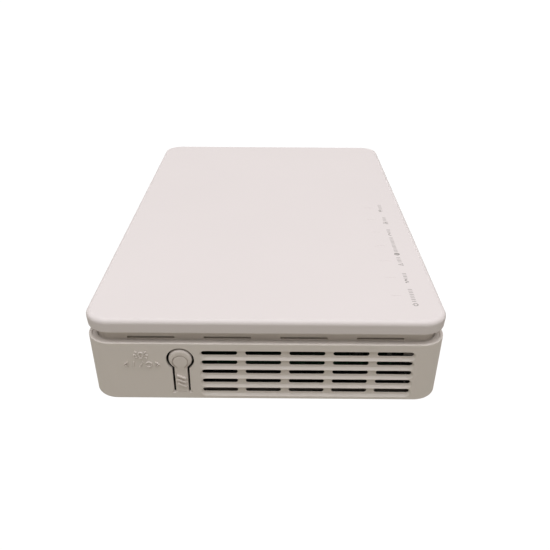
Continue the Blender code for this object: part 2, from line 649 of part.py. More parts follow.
# ---- light button -----------------------------------------------------------------
def make_light_button():
    """Round-headed tongue freed from the end wall, bending at its foot."""
    hinge = wall_place(BUTTON_X, ROOT_DROP) @ Vector((0, HOUSING_WALL / 2, 0))
    head_z = ROOT_DROP - BUTTON_DROP
    face_y = -HOUSING_WALL / 2

    def stem(bm):
        add_box(bm, (-STEM_HALF_WIDTH, face_y + STEM_SINK, ROOT_GAP),
                (STEM_HALF_WIDTH, face_y + STEM_THICKNESS, head_z))

    def head(bm):
        front_y = face_y - BUTTON_PROUD
        add_cylinder(bm, BUTTON_HEAD_R - BUTTON_BEVEL, (0, front_y, head_z),
                     (0, front_y + BUTTON_BEVEL, head_z), segments=40, end_radius=BUTTON_HEAD_R)
        inner_y = front_y + BUTTON_BEVEL / 2
        cap = [f for f in bm.faces if all(v.co.y > inner_y for v in f.verts)]
        pull_faces(bm, cap, (0, STEM_THICKNESS + GAP, 0))

    def dish(bm):
        sphere_r, sink = BUTTON_DISH
        centre = (0, face_y - BUTTON_PROUD + sink - sphere_r, head_z)
        bmesh.ops.create_uvsphere(bm, u_segments=32, v_segments=24, radius=sphere_r,
                                  matrix=Matrix.Translation(centre))

    def ribs(bm):
        half_width, proud, root, half_height = RIB
        tilt = Matrix.Rotation(RIB_SLANT, 4, "Y")
        for index in range(RIB_COUNT):
            verts = add_box(bm, (-half_width, face_y - proud, -half_height),
                            (half_width, face_y + root, half_height))
            place = Matrix.Translation((0, 0, head_z - RIB_FIRST - index * RIB_PITCH)) @ tilt
            for vert in verts:
                vert.co = place @ vert.co

    def actuator(bm):
        half_width, reach, half_height = NUB
        nub = NUB_Z - hinge.z
        add_box(bm, (-half_width, face_y + OVER, nub - half_height),
                (half_width, reach, nub + half_height))

    button = solid("light_button", stem, "button_white", location=hinge,
                   rotation=(WALL_DRAFT, 0, 0))
    for name, build, operation in (("button_head", head, "UNION"), ("button_dish", dish, "DIFFERENCE"),
                                   ("button_ribs", ribs, "UNION"), ("button_nub", actuator, "UNION")):
        shape = tool(name, build)
        shape.location = hinge
        shape.rotation_euler = (WALL_DRAFT, 0, 0)
        combine(button, shape, operation)


def make_light_switch():
    """Side-push switch on the board's near edge, with its plunger as a piece of its own."""
    front_y, back_y = LIGHT_SWITCH_Y
    half_width, top_z = LIGHT_SWITCH
    well_r, well_depth = LIGHT_SWITCH_WELL
    plunger_r, reach, overlap = LIGHT_PLUNGER

    def body(bm):
        add_box(bm, (BUTTON_X - half_width, front_y, BOARD_TOP + SEAT_GAP),
                (BUTTON_X + half_width, back_y, top_z))

    def well(bm):
        add_cylinder(bm, well_r, (BUTTON_X, front_y - OVER, NUB_Z), (BUTTON_X, front_y + well_depth, NUB_Z),
                     segments=20)

    case = solid("light_switch", body, "chip_black")
    cut(case, "light_switch_well", well)
    solid("light_switch_plunger",
          lambda bm: add_cylinder(bm, plunger_r, (0, front_y - reach, 0), (0, front_y + overlap, 0)),
          "button_white", location=(BUTTON_X, 0, NUB_Z))


# ---- rear sockets and buttons -----------------------------------------------------
def make_socket(name, size, y, opening, notch, material_name):
    """Box socket on the board with a stepped mouth in its rear face."""
    depth, width, height = size
    back = JACK_FACE_X + depth
    mouth_width, mouth_height, mouth_depth, sill = opening

    def body(bm):
        add_box(bm, (JACK_FACE_X, y - width / 2, BOARD_TOP + SEAT_GAP),
                (back, y + width / 2, BOARD_TOP + height))

    def mouth(bm):
        low = BOARD_TOP + sill
        add_box(bm, (JACK_FACE_X - OVER, y - mouth_width / 2, low),
                (JACK_FACE_X + mouth_depth, y + mouth_width / 2, low + mouth_height))

    def latch_notch(bm):
        low = BOARD_TOP + sill - notch[1]
        add_box(bm, (JACK_FACE_X - OVER, y - notch[0] / 2, low),
                (JACK_FACE_X + mouth_depth * NOTCH_SHARE, y + notch[0] / 2, low + notch[1] + OVER))

    socket = solid(name, body, material_name)
    cut(socket, f"{name}_mouth", mouth)
    cut(socket, f"{name}_notch", latch_notch)


def make_sockets():
    """Four network sockets in a row and one telephone socket."""
    for index in range(LAN_COUNT):
        make_socket(f"lan_socket_{index + 1}", LAN_JACK, LAN_FIRST_Y + index * LAN_PITCH,
                    LAN_MOUTH, LAN_NOTCH, "socket_black")
    make_socket("telephone_socket", TEL_JACK, TEL_Y, TEL_MOUTH, TEL_NOTCH, "socket_grey")


def make_power_jack():
    """Barrel jack with its centre pin."""
    depth, width, height = POWER_JACK
    axis_z = POWER_AXIS_Z

    def body(bm):
        add_box(bm, (JACK_FACE_X, POWER_JACK_Y - width / 2, BOARD_TOP + SEAT_GAP),
                (JACK_FACE_X + depth, POWER_JACK_Y + width / 2, BOARD_TOP + height))

    def barrel(bm):
        add_cylinder(bm, POWER_BORE[0], (JACK_FACE_X - OVER, POWER_JACK_Y, axis_z),
                     (JACK_FACE_X + POWER_BORE[1], POWER_JACK_Y, axis_z), segments=28)

    def pin(bm):
        add_cylinder(bm, POWER_PIN_R, (JACK_FACE_X + OVER, POWER_JACK_Y, axis_z),
                     (JACK_FACE_X + POWER_BORE[1] + OVER, POWER_JACK_Y, axis_z), segments=16)

    jack = solid("power_jack", body, "socket_black")
    cut(jack, "power_jack_barrel", barrel)
    join(jack, "power_jack_pin", pin)


def make_power_button():
    """Square latching push button and the switch that its stem works."""
    reach, width, height = POWER_BUTTON
    outer_x, switch_x, half = POWER_BUTTON_X, POWER_SWITCH_X, POWER_STEM_HALF

    def cap(bm):
        verts = add_box(bm, (outer_x, -width / 2, -height / 2), (outer_x + reach, width / 2, height / 2))
        edges = {e for v in verts for e in v.link_edges if all(w.co.x < outer_x + 1e-6 for w in e.verts)}
        bmesh.ops.bevel(bm, geom=list(edges), offset=POWER_BUTTON_BEVEL, segments=2, profile=0.5,
                         affect="EDGES")

    def stem(bm):
        add_box(bm, (outer_x + reach - GAP, -half, -half), (switch_x + 2 * half, half, half))

    button = solid("power_button", cap, "button_white", location=(0, POWER_BUTTON_Y, POWER_BUTTON_Z))
    shank = tool("power_button_stem", stem)
    shank.location = (0, POWER_BUTTON_Y, POWER_BUTTON_Z)
    combine(button, shank, "UNION")

    switch_depth, half_width, rise, well_depth = POWER_SWITCH

    def body(bm):
        add_box(bm, (switch_x, POWER_BUTTON_Y - half_width, BOARD_TOP + SEAT_GAP),
                (switch_x + switch_depth, POWER_BUTTON_Y + half_width, BOARD_TOP + rise))

    def well(bm):
        add_box(bm, (switch_x - OVER, POWER_BUTTON_Y - half - GAP, POWER_BUTTON_Z - half - GAP),
                (switch_x + well_depth, POWER_BUTTON_Y + half + GAP, POWER_BUTTON_Z + half + GAP))

    switch = solid("power_switch", body, "chip_black")
    cut(switch, "power_switch_well", well)


def make_reset_button():
    """Short plunger behind the pinhole and the switch that it works."""
    axis_z, switch_x = RESET_Z, RESET_SWITCH_X
    radius, outer_x, reach = RESET_PLUNGER
    depth, half_width, top_z, well_depth = RESET_SWITCH

    solid("reset_button",
          lambda bm: add_cylinder(bm, radius, (outer_x, 0, 0), (switch_x + reach, 0, 0), segments=20),
          "chip_black", location=(0, RESET_Y, axis_z))

    def body(bm):
        add_box(bm, (switch_x, RESET_Y - half_width, BOARD_TOP + SEAT_GAP),
                (switch_x + depth, RESET_Y + half_width, top_z))

    def well(bm):
        add_cylinder(bm, radius + GAP, (switch_x - OVER, RESET_Y, axis_z),
                     (switch_x + well_depth, RESET_Y, axis_z), segments=20)

    switch = solid("reset_switch", body, "tin_plate")
    cut(switch, "reset_switch_well", well)


def make_fibre_port():
    """Fibre adapter, the shutter that hangs in front of it and the module behind it."""
    depth, width, height = FIBRE_ADAPTER
    face_x, middle_z = FIBRE_FACE_X, FIBRE_AXIS_Z
    body_top = BOARD_TOP + height - FIBRE_HOOD

    def body(bm):
        add_box(bm, (face_x, FIBRE_Y - width / 2, BOARD_TOP + SEAT_GAP),
                (face_x + depth, FIBRE_Y + width / 2, body_top))

    def mouth(bm):
        half_width, half_height = FIBRE_MOUTH[0] / 2, FIBRE_MOUTH[1] / 2
        add_box(bm, (face_x - OVER, FIBRE_Y - half_width, middle_z - half_height),
                (face_x + FIBRE_MOUTH[2], FIBRE_Y + half_width, middle_z + half_height))

    def sleeve(bm):
        add_cylinder(bm, FIBRE_SLEEVE_R, (face_x + FIBRE_MOUTH[2] / 2, FIBRE_Y, middle_z),
                     (face_x + FIBRE_MOUTH[2] + OVER, FIBRE_Y, middle_z))

    def ear_edges():
        inner, outer = FLAP[1] / 2 + GAP, FLAP[1] / 2 + EAR[2]
        return (FIBRE_Y - outer, FIBRE_Y - inner), (FIBRE_Y + inner, FIBRE_Y + outer)

    def ears(bm):
        for low_y, high_y in ear_edges():
            add_box(bm, (face_x - EAR[0], low_y, body_top + SEAT_GAP),
                    (face_x + EAR[1], high_y, BOARD_TOP + height))

    def ear_roots(bm):
        reach, sink, rise = EAR_ROOT
        for low_y, high_y in ear_edges():
            add_box(bm, (face_x + SEAT_GAP, low_y, body_top - sink),
                    (face_x + reach, high_y, body_top + rise))

    adapter = solid("fibre_adapter", body, "adapter_green")
    cut(adapter, "fibre_mouth", mouth)
    join(adapter, "fibre_sleeve", sleeve)
    join(adapter, "shutter_ears", ears)
    join(adapter, "shutter_ear_roots", ear_roots)
    make_shutter((face_x - FLAP_STAND, FIBRE_Y, BOARD_TOP + height - FLAP_BARREL_R))

    module_x = face_x + depth + GAP
    length, width, rise = OPTICAL_MODULE
    solid("optical_module",
          lambda bm: add_box(bm, (module_x, FIBRE_Y - width / 2, BOARD_TOP + SEAT_GAP),
                             (module_x + length, FIBRE_Y + width / 2, BOARD_TOP + rise)), "tin_plate")


def make_shutter(hinge):
    """Flap that hangs from its hinge barrel in front of the fibre mouth."""
    half_thick, half_width = FLAP[0] / 2, FLAP[1] / 2

    def flap(bm):
        add_box(bm, (-half_thick, -half_width, -FLAP[2]), (half_thick, half_width, 0.0))

    def barrel(bm):
        add_cylinder(bm, FLAP_BARREL_R, (0, -half_width, 0), (0, half_width, 0), segments=16)

    shutter = solid("fibre_shutter", flap, "socket_black", location=hinge)
    pin = tool("shutter_barrel", barrel)
    pin.location = hinge
    combine(shutter, pin, "UNION")


# ---- board and what it carries ----------------------------------------------------
def make_main_board():
    """Circuit board with screw holes."""
    def slab(bm):
        add_box(bm, BOARD_LOW, BOARD_HIGH)

    def holes(bm):
        for x, y in BOARD_SCREWS:
            add_cylinder(bm, BOARD_HOLE_R, (x, y, BOARD_LOW.z - OVER), (x, y, BOARD_TOP + OVER),
                         segments=16)

    board = solid("main_board", slab, "board_green")
    cut(board, "board_holes", holes)


def make_block(name, x, y, size, material_name, base_z=BOARD_TOP + SEAT_GAP, edge=0.0):
    """Box-shaped component standing on the board."""
    def body(bm):
        verts = add_box(bm, (x - size[0] / 2, y - size[1] / 2, base_z),
                        (x + size[0] / 2, y + size[1] / 2, base_z + size[2]))
        if edge:
            bmesh.ops.bevel(bm, geom=vertical_edges(verts), offset=edge, segments=2, profile=0.5,
                            affect="EDGES")
    return solid(name, body, material_name)


def make_board_parts():
    """Chips, shields, coils and transformers."""
    make_block("main_processor", 0.006, 0.008, (0.017, 0.017, 0.0013), "chip_black")
    make_block("memory_chip", 0.029, 0.008, (0.008, 0.013, 0.0011), "chip_black")
    make_block("flash_chip", 0.006, -0.016, (0.008, 0.006, 0.0016), "chip_black")
    make_block("telephone_line_chip", -0.025, -0.030, (0.009, 0.009, 0.0010), "chip_black")
    make_block("radio_shield_1", 0.018, 0.048, (0.034, 0.026, 0.0034), "tin_plate", edge=0.0008)
    make_block("radio_shield_2", 0.020, -0.042, (0.026, 0.022, 0.0034), "tin_plate", edge=0.0008)
    make_block("lan_transformer_1", -0.022, -0.0025, (0.010, 0.016, 0.0062), "chip_black")
    make_block("lan_transformer_2", -0.022, 0.0335, (0.010, 0.016, 0.0062), "chip_black")
    make_block("power_coil_1", -0.022, -0.052, (0.0073, 0.0073, 0.0040), "ferrite_grey", edge=0.0012)
    make_block("power_coil_2", -0.022, -0.063, (0.0073, 0.0073, 0.0040), "ferrite_grey", edge=0.0012)


def make_heatsink():
    """Finned block on the processor."""
    x, y = HEATSINK_AT
    half, height, stand = HEATSINK
    half_groove, base = HEATSINK_GROOVE
    base_z = BOARD_TOP + stand
    pitch = 2 * half / HEATSINK_FINS

    def block(bm):
        add_box(bm, (x - half, y - half, base_z), (x + half, y + half, base_z + height))

    def grooves(bm):
        for index in range(HEATSINK_FINS - 1):
            middle = y - half + (index + 1) * pitch
            add_box(bm, (x - half - OVER, middle - half_groove, base_z + base),
                    (x + half + OVER, middle + half_groove, base_z + height + OVER))

    sink = solid("heatsink", block, "aluminium_fin")
    cut(sink, "heatsink_grooves", grooves)


def make_capacitors():
    """Three upright electrolytic cans."""
    radius, height, edge = CAPACITOR
    for index, (x, y) in enumerate(CAPACITORS_AT, start=1):
        def can(bm, x=x, y=y):
            add_cylinder(bm, radius, (x, y, BOARD_TOP + SEAT_GAP), (x, y, BOARD_TOP + height), segments=24)
            round_level(bm, BOARD_TOP + height, edge, segments=2)
        solid(f"capacitor_{index}", can, "capacitor_sleeve")


def led_places():
    """Return the indicators' middles along Y, near to far."""
    return [LED_FIRST_Y + index * LED_PITCH for index in range(LED_COUNT)]


def make_indicators():
    """A chip lamp for each indicator and the clear guide that carries the light up."""
    for index, y in enumerate(led_places(), start=1):
        make_block(f"status_led_{index}", LED_X, y, STATUS_LED, "led_lens")

    def bar(bm):
        half_width, past, low_z, high_z = GUIDE_BAR
        add_box(bm, (LED_X - half_width, LED_FIRST_Y - past, low_z),
                (LED_X + half_width, led_places()[-1] + past, high_z))

    def fingers(bm):
        half_width, half_length, stand = GUIDE_FINGER
        for y in led_places():
            add_box(bm, (LED_X - half_width, y - half_length, BOARD_TOP + stand),
                    (LED_X + half_width, y + half_length, COVER_TOP_Z - COVER_SKIN - GAP))

    guide = solid("light_guide", bar, "clear_acrylic")
    join(guide, "guide_fingers", fingers)


def make_lead(name, points):
    """Thin coaxial lead along a smooth line through the given points."""
    curve = bpy.data.curves.new(name, "CURVE")
    curve.dimensions = "3D"
    curve.bevel_depth = LEAD_R
    curve.bevel_resolution = 2
    curve.use_fill_caps = True
    spline = curve.splines.new("POLY")
    route = smooth_route([Vector(p) for p in points], steps=4)
    spline.points.add(len(route) - 1)
    for point, place in zip(spline.points, route):
        point.co = (*place, 1.0)
    obj = bpy.data.objects.new(name, curve)
    curve.materials.append(material("coax_jacket"))
    collection("optical_network_terminal").objects.link(obj)


def smooth_route(points, steps):
    """Return points on a Catmull-Rom curve through the given ones."""
    padded = [2 * points[0] - points[1], *points, 2 * points[-1] - points[-2]]
    route = []
    for a, b, c, d in zip(padded, padded[1:], padded[2:], padded[3:]):
        for step in range(steps):
            t = step / steps
            route.append(0.5 * (2 * b + (c - a) * t + (2 * a - 5 * b + 4 * c - d) * t * t
                                + (3 * b - a - 3 * c + d) * t * t * t))
    return [*route, points[-1]]


def make_antennas():
    """Two upright antenna boards beside the main board, each with its lead."""
    low_z, high_z = ANTENNA_Z
    solid("antenna_1", lambda bm: add_box(bm, (-0.018, 0.0785, low_z), (0.022, 0.0793, high_z)),
          "antenna_board")
    solid("antenna_2", lambda bm: add_box(bm, (0.0484, 0.030, low_z), (0.0492, 0.066, high_z)),
          "antenna_board")
    make_lead("antenna_lead_1", [(0.010, 0.0560, 0.0122), (0.008, 0.0620, 0.0124),
                                 (0.004, 0.0690, 0.0120), (0.002, 0.0740, 0.0114),
                                 (0.002, 0.0779, 0.0112)])
    make_lead("antenna_lead_2", [(0.030, 0.0500, 0.0122), (0.036, 0.0500, 0.0124),
                                 (0.042, 0.0490, 0.0118), (0.045, 0.0484, 0.0112),
                                 (0.0478, 0.0480, 0.0110)])


def main():
    """Build the whole terminal."""
    clear_scene()
    make_top_cover()
    make_vent_frame()
    make_lower_housing()
    make_feet()
    make_rating_label()
    make_screws()
    make_light_button()
    make_light_switch()
    make_sockets()
    make_power_jack()
    make_power_button()
    make_reset_button()
    make_fibre_port()
    make_main_board()
    make_board_parts()
    make_heatsink()
    make_capacitors()
    make_indicators()
    make_antennas()


main()
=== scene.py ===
"""Looks of a white optical network terminal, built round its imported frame.

The frame gives every place and size. The lid, housing, light button, sockets, feet and
screws are modelled finely in place of their plain solids; the board and what it carries
keep their solids and get proper finishes.
"""

import logging
import math
from collections.abc import Callable, Iterable, Iterator
from contextlib import contextmanager
from dataclasses import dataclass, field
from enum import Enum

import bmesh
import bpy
from mathutils import Matrix, Vector


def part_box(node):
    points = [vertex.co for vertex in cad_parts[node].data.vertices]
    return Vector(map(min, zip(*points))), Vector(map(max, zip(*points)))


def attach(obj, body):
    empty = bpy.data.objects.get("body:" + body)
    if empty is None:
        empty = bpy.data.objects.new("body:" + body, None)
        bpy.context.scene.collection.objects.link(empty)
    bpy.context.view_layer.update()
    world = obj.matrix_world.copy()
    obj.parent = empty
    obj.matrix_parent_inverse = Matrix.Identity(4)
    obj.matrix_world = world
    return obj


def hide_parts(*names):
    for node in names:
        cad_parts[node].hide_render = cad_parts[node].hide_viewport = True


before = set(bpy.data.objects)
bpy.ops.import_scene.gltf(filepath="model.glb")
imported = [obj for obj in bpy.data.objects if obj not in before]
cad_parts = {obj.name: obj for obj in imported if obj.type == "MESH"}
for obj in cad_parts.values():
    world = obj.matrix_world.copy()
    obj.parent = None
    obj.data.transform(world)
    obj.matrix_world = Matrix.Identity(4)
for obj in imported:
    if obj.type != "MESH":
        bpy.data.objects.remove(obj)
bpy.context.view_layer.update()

LOG = logging.getLogger("terminal")

MM = 0.001
TERMINAL = "terminal"
WALL_DRAFT = math.radians(2.5)
SMOOTH_ANGLE = math.radians(32)
Point = tuple[float, float, float]


# ---- shader maths -----------------------------------------------------------------
class Signal:
    """One shader value that takes part in Python arithmetic by adding Math nodes."""

    def __init__(self, tree: bpy.types.NodeTree, socket: bpy.types.NodeSocket) -> None:
        """Wrap an output socket of a node tree."""
        self.tree = tree
        self.socket = socket

    def math(self, operation: str, *others: "Signal | float") -> "Signal":
        """Add a Math node that takes this value first.

        Args:
            operation: the Math node's operation.
            others: the values or numbers for its other inputs.

        Returns:
            The node's result.
        """
        return combine_values(self.tree, operation, self, *others)

    def __add__(self, other: "Signal | float") -> "Signal":
        """Return the sum."""
        return self.math("ADD", other)

    def __radd__(self, other: float) -> "Signal":
        """Return the sum, reflected."""
        return self.math("ADD", other)

    def __sub__(self, other: "Signal | float") -> "Signal":
        """Return the difference."""
        return self.math("SUBTRACT", other)

    def __rsub__(self, other: float) -> "Signal":
        """Return the difference, reflected."""
        return combine_values(self.tree, "SUBTRACT", other, self)

    def __mul__(self, other: "Signal | float") -> "Signal":
        """Return the product."""
        return self.math("MULTIPLY", other)

    def __rmul__(self, other: float) -> "Signal":
        """Return the product, reflected."""
        return self.math("MULTIPLY", other)

    def over(self, edge: float) -> "Signal":
        """Return 1 where the value is greater than the edge."""
        return self.math("GREATER_THAN", edge)


def combine_values(tree: bpy.types.NodeTree, operation: str, *values: Signal | float) -> Signal:
    """Add one Math node.

    Args:
        tree: the node tree that takes the node.
        operation: the Math node's operation.
        values: the inputs, in order, as signals or numbers.

    Returns:
        The node's result.
    """
    node = tree.nodes.new("ShaderNodeMath")
    node.operation = operation
    for socket, value in zip(node.inputs, values):
        if isinstance(value, Signal):
            tree.links.new(value.socket, socket)
        else:
            socket.default_value = value
    return Signal(tree, node.outputs[0])


class ShaderBench:
    """Builds one Principled material from Object coordinates."""

    def __init__(self, name: str) -> None:
        """Start a material of the given name."""
        self.material = bpy.data.materials.new(name)
        self.material.use_nodes = True
        self.tree = self.material.node_tree
        self.shader = self.tree.nodes["Principled BSDF"]
        self.place = self.node("ShaderNodeTexCoord").outputs["Object"]

    @classmethod
    def resume(cls, material: bpy.types.Material) -> "ShaderBench":
        """Return a bench for a material that already has its nodes."""
        bench = cls.__new__(cls)
        bench.material = material
        bench.tree = material.node_tree
        bench.shader = bench.tree.nodes["Principled BSDF"]
        bench.place = bench.node("ShaderNodeTexCoord").outputs["Object"]
        return bench

    def node(self, kind: str, settings: dict | None = None, inputs: dict | None = None) -> bpy.types.Node:
        """Add a node.

        Args:
            kind: the node's type.
            settings: attributes that are set first.
            inputs: values, sockets or signals for its inputs, by name or number.

        Returns:
            The new node.
        """
        made = self.tree.nodes.new(kind)
        for key, value in (settings or {}).items():
            setattr(made, key, value)
        for key, value in (inputs or {}).items():
            self.feed(made.inputs[key], value)
        return made

    def feed(self, socket: bpy.types.NodeSocket, value: object) -> None:
        """Link or set one input socket."""
        if isinstance(value, Signal):
            self.tree.links.new(value.socket, socket)
        elif isinstance(value, bpy.types.NodeSocket):
            self.tree.links.new(value, socket)
        else:
            socket.default_value = value

    def noise(self, scale: float, detail: float = 2.0, roughness: float = 0.5,
              stretch: Point = (1.0, 1.0, 1.0)) -> Signal:
        """Return noise on Object coordinates, scale being in cells per metre."""
        place = self.node("ShaderNodeMapping", inputs={"Vector": self.place, "Scale": stretch})
        made = self.node("ShaderNodeTexNoise", inputs={
            "Vector": place.outputs[0], "Scale": scale, "Detail": detail, "Roughness": roughness})
        return Signal(self.tree, made.outputs["Fac"])

    def cells(self, scale: float, feature: str = "F1") -> Signal:
        """Return Voronoi distance on Object coordinates."""
        made = self.node("ShaderNodeTexVoronoi", {"feature": feature},
                         {"Vector": self.place, "Scale": scale})
        return Signal(self.tree, made.outputs["Distance"])

    def axis(self, name: str) -> Signal:
        """Return one Object coordinate, in metres."""
        split = self.node("ShaderNodeSeparateXYZ", inputs={"Vector": self.place})
        return Signal(self.tree, split.outputs[name])

    def ramp(self, value: Signal, low: float, high: float) -> Signal:
        """Return the value remapped so that low gives 0 and high gives 1, clamped."""
        made = self.node("ShaderNodeMapRange", {"clamp": True},
                         {"Value": value, "From Min": low, "From Max": high})
        return Signal(self.tree, made.outputs["Result"])

    def blend(self, factor: Signal, first: Point, second: Point) -> bpy.types.NodeSocket:
        """Return a colour that goes from first to second as the factor goes from 0 to 1."""
        made = self.node("ShaderNodeMix", {"data_type": "RGBA"}, {
            0: factor, 6: (*first, 1.0), 7: (*second, 1.0)})
        return made.outputs[2]

    def bump(self, height: Signal, depth: float) -> None:
        """Feed the shader's normal from a height, depth being in metres."""
        made = self.node("ShaderNodeBump", inputs={"Height": height, "Strength": 1.0, "Distance": depth})
        self.feed(self.shader.inputs["Normal"], made.outputs["Normal"])

    def dress(self, **values: object) -> bpy.types.Material:
        """Feed the shader's sockets, named with underscores, and return the material."""
        for key, value in values.items():
            self.feed(self.shader.inputs[key.replace("_", " ").title().replace("Ior", "IOR")], value)
        return self.material


# ---- finishes ---------------------------------------------------------------------
def shade(colour: Point, factor: float) -> Point:
    """Return a colour multiplied by a factor."""
    return tuple(channel * factor for channel in colour)


@dataclass(frozen=True)
class MouldedPlastic:
    """Injection-moulded plastic with spark-eroded grain and slight mottling."""

    name: str
    slot: str
    colour: Point
    roughness: float = 0.46
    grain: float = 5200.0
    grain_depth: float = 0.000006
    mottle: float = 0.012
    sheen: float = 0.5

    def build(self) -> bpy.types.Material:
        """Return the material."""
        bench = ShaderBench(self.name)
        broad = bench.noise(26.0, 3.0)
        fine = bench.noise(self.grain, 3.0, 0.6)
        pits = bench.cells(self.grain * 0.55)
        colour = bench.blend(broad, shade(self.colour, 1 - self.mottle), shade(self.colour, 1 + self.mottle))
        bench.bump(fine * 0.6 + pits * 0.4, self.grain_depth)
        rough = self.roughness + (fine - 0.5) * 0.10 + (broad - 0.5) * 0.05
        return bench.dress(base_color=colour, roughness=rough, specular_ior_level=self.sheen)


@dataclass(frozen=True)
class PaintedShadePlastic(MouldedPlastic):
    """Moulded plastic whose hollow inside and slot walls carry painted shade: near-black colour that stands
    in for the shadow inside the closed tray.
    """

    # near-black painted shade, for the shadow inside the hollow and on the slots' walls
    painted_shade_colour: Point = (0.012, 0.012, 0.012)
    inside: Point = (0.0524, 0.0838, 0.0024)
    behind_face: Point = (0.0460, 0.08572, 0.0205)

    def build(self) -> bpy.types.Material:
        """Return the material."""
        material = super().build()
        bench = ShaderBench.resume(material)
        half_x, half_y, floor = self.inside
        near_x, near_y, top = self.behind_face
        across = bench.axis("X").math("ABSOLUTE")
        along = bench.axis("Y").math("ABSOLUTE")
        hollow = (1 - across.over(half_x)) * (1 - along.over(half_y))
        drafted = along - bench.axis("Z") * math.tan(WALL_DRAFT)
        slots = (1 - across.over(near_x)) * (1 - drafted.over(near_y))
        level = bench.axis("Z").over(floor) * (1 - bench.axis("Z").over(top))
        # painted shade: near-black where the hollow and the slots' walls lie in shadow, between the floor
        # and top levels
        painted_shade_mask = hollow.math("MAXIMUM", slots) * level
        plastic = bench.shader.inputs["Base Color"].links[0].from_socket
        mixed = bench.node("ShaderNodeMix", {"data_type": "RGBA"},
                           {0: painted_shade_mask, 6: plastic, 7: (*self.painted_shade_colour, 1.0)})
        return bench.dress(base_color=mixed.outputs[2])


@dataclass(frozen=True)
class SheetMetal:
    """Drawn or plated metal with directional rub marks."""

    name: str
    slot: str
    colour: Point
    roughness: float = 0.32
    stretch: Point = (1.0, 14.0, 14.0)

    def build(self) -> bpy.types.Material:
        """Return the material."""
        bench = ShaderBench(self.name)
        rub = bench.noise(420.0, 4.0, 0.6, self.stretch)
        stain = bench.noise(90.0, 2.0)
        colour = bench.blend(stain, shade(self.colour, 0.93), shade(self.colour, 1.05))
        bench.bump(rub, 0.000004)
        return bench.dress(base_color=colour, metallic=1.0, roughness=self.roughness + (rub - 0.5) * 0.22)


@dataclass(frozen=True)
class CircuitLaminate:
    """Solder resist over copper tracks, pads and vias."""

    name: str
    slot: str
    resist: Point
    track: Point

    def build(self) -> bpy.types.Material:
        """Return the material."""
        bench = ShaderBench(self.name)
        runs = bench.node("ShaderNodeTexBrick", {"offset": 0.37, "squash": 0.6}, {
            "Vector": bench.place, "Scale": 240.0, "Mortar Size": 0.09, "Mortar Smooth": 0.1,
            "Brick Width": 1.9, "Row Height": 0.32})
        lanes = Signal(bench.tree, runs.outputs["Fac"])
        vias = 1 - bench.cells(620.0).over(0.23)
        islands = bench.ramp(bench.noise(70.0, 1.0), 0.45, 0.55)
        mask = lanes * islands * 0.55 + vias * 0.35
        bench.bump(mask, 0.00003)
        return bench.dress(base_color=bench.blend(mask, self.resist, self.track),
                           roughness=0.32 + mask * 0.18, coat_weight=0.25)


@dataclass(frozen=True)
class SoftRubber:
    """Matt elastomer with a faint bloom."""

    name: str
    slot: str
    colour: Point

    def build(self) -> bpy.types.Material:
        """Return the material."""
        bench = ShaderBench(self.name)
        bloom = bench.noise(380.0, 4.0, 0.65)
        bench.bump(bench.noise(3600.0, 2.0), 0.00001)
        return bench.dress(base_color=bench.blend(bloom, shade(self.colour, 0.85), shade(self.colour, 1.2)),
                           roughness=0.82 + (bloom - 0.5) * 0.12)


@dataclass(frozen=True)
class PrintedInk:
    """Screen-printed ink, thin enough to let some of the plastic through."""

    name: str
    slot: str
    colour: Point

    def build(self) -> bpy.types.Material:
        """Return the material."""
        bench = ShaderBench(self.name)
        screen = bench.noise(4200.0, 2.0)
        return bench.dress(base_color=bench.blend(screen, shade(self.colour, 0.92), shade(self.colour, 1.1)),
                           roughness=0.5 + (screen - 0.5) * 0.2)


@dataclass(frozen=True)
class ClearResin:
    """Clear acrylic or lamp resin."""

    name: str
    slot: str
    colour: Point
    roughness: float = 0.08
    transmission: float = 0.9

    def build(self) -> bpy.types.Material:
        """Return the material."""
        bench = ShaderBench(self.name)
        flow = bench.noise(160.0, 2.0)
        tint = bench.blend(flow, shade(self.colour, 0.97), self.colour)
        return bench.dress(base_color=tint, roughness=self.roughness + (flow - 0.5) * 0.04,
                           transmission_weight=self.transmission, ior=1.49)


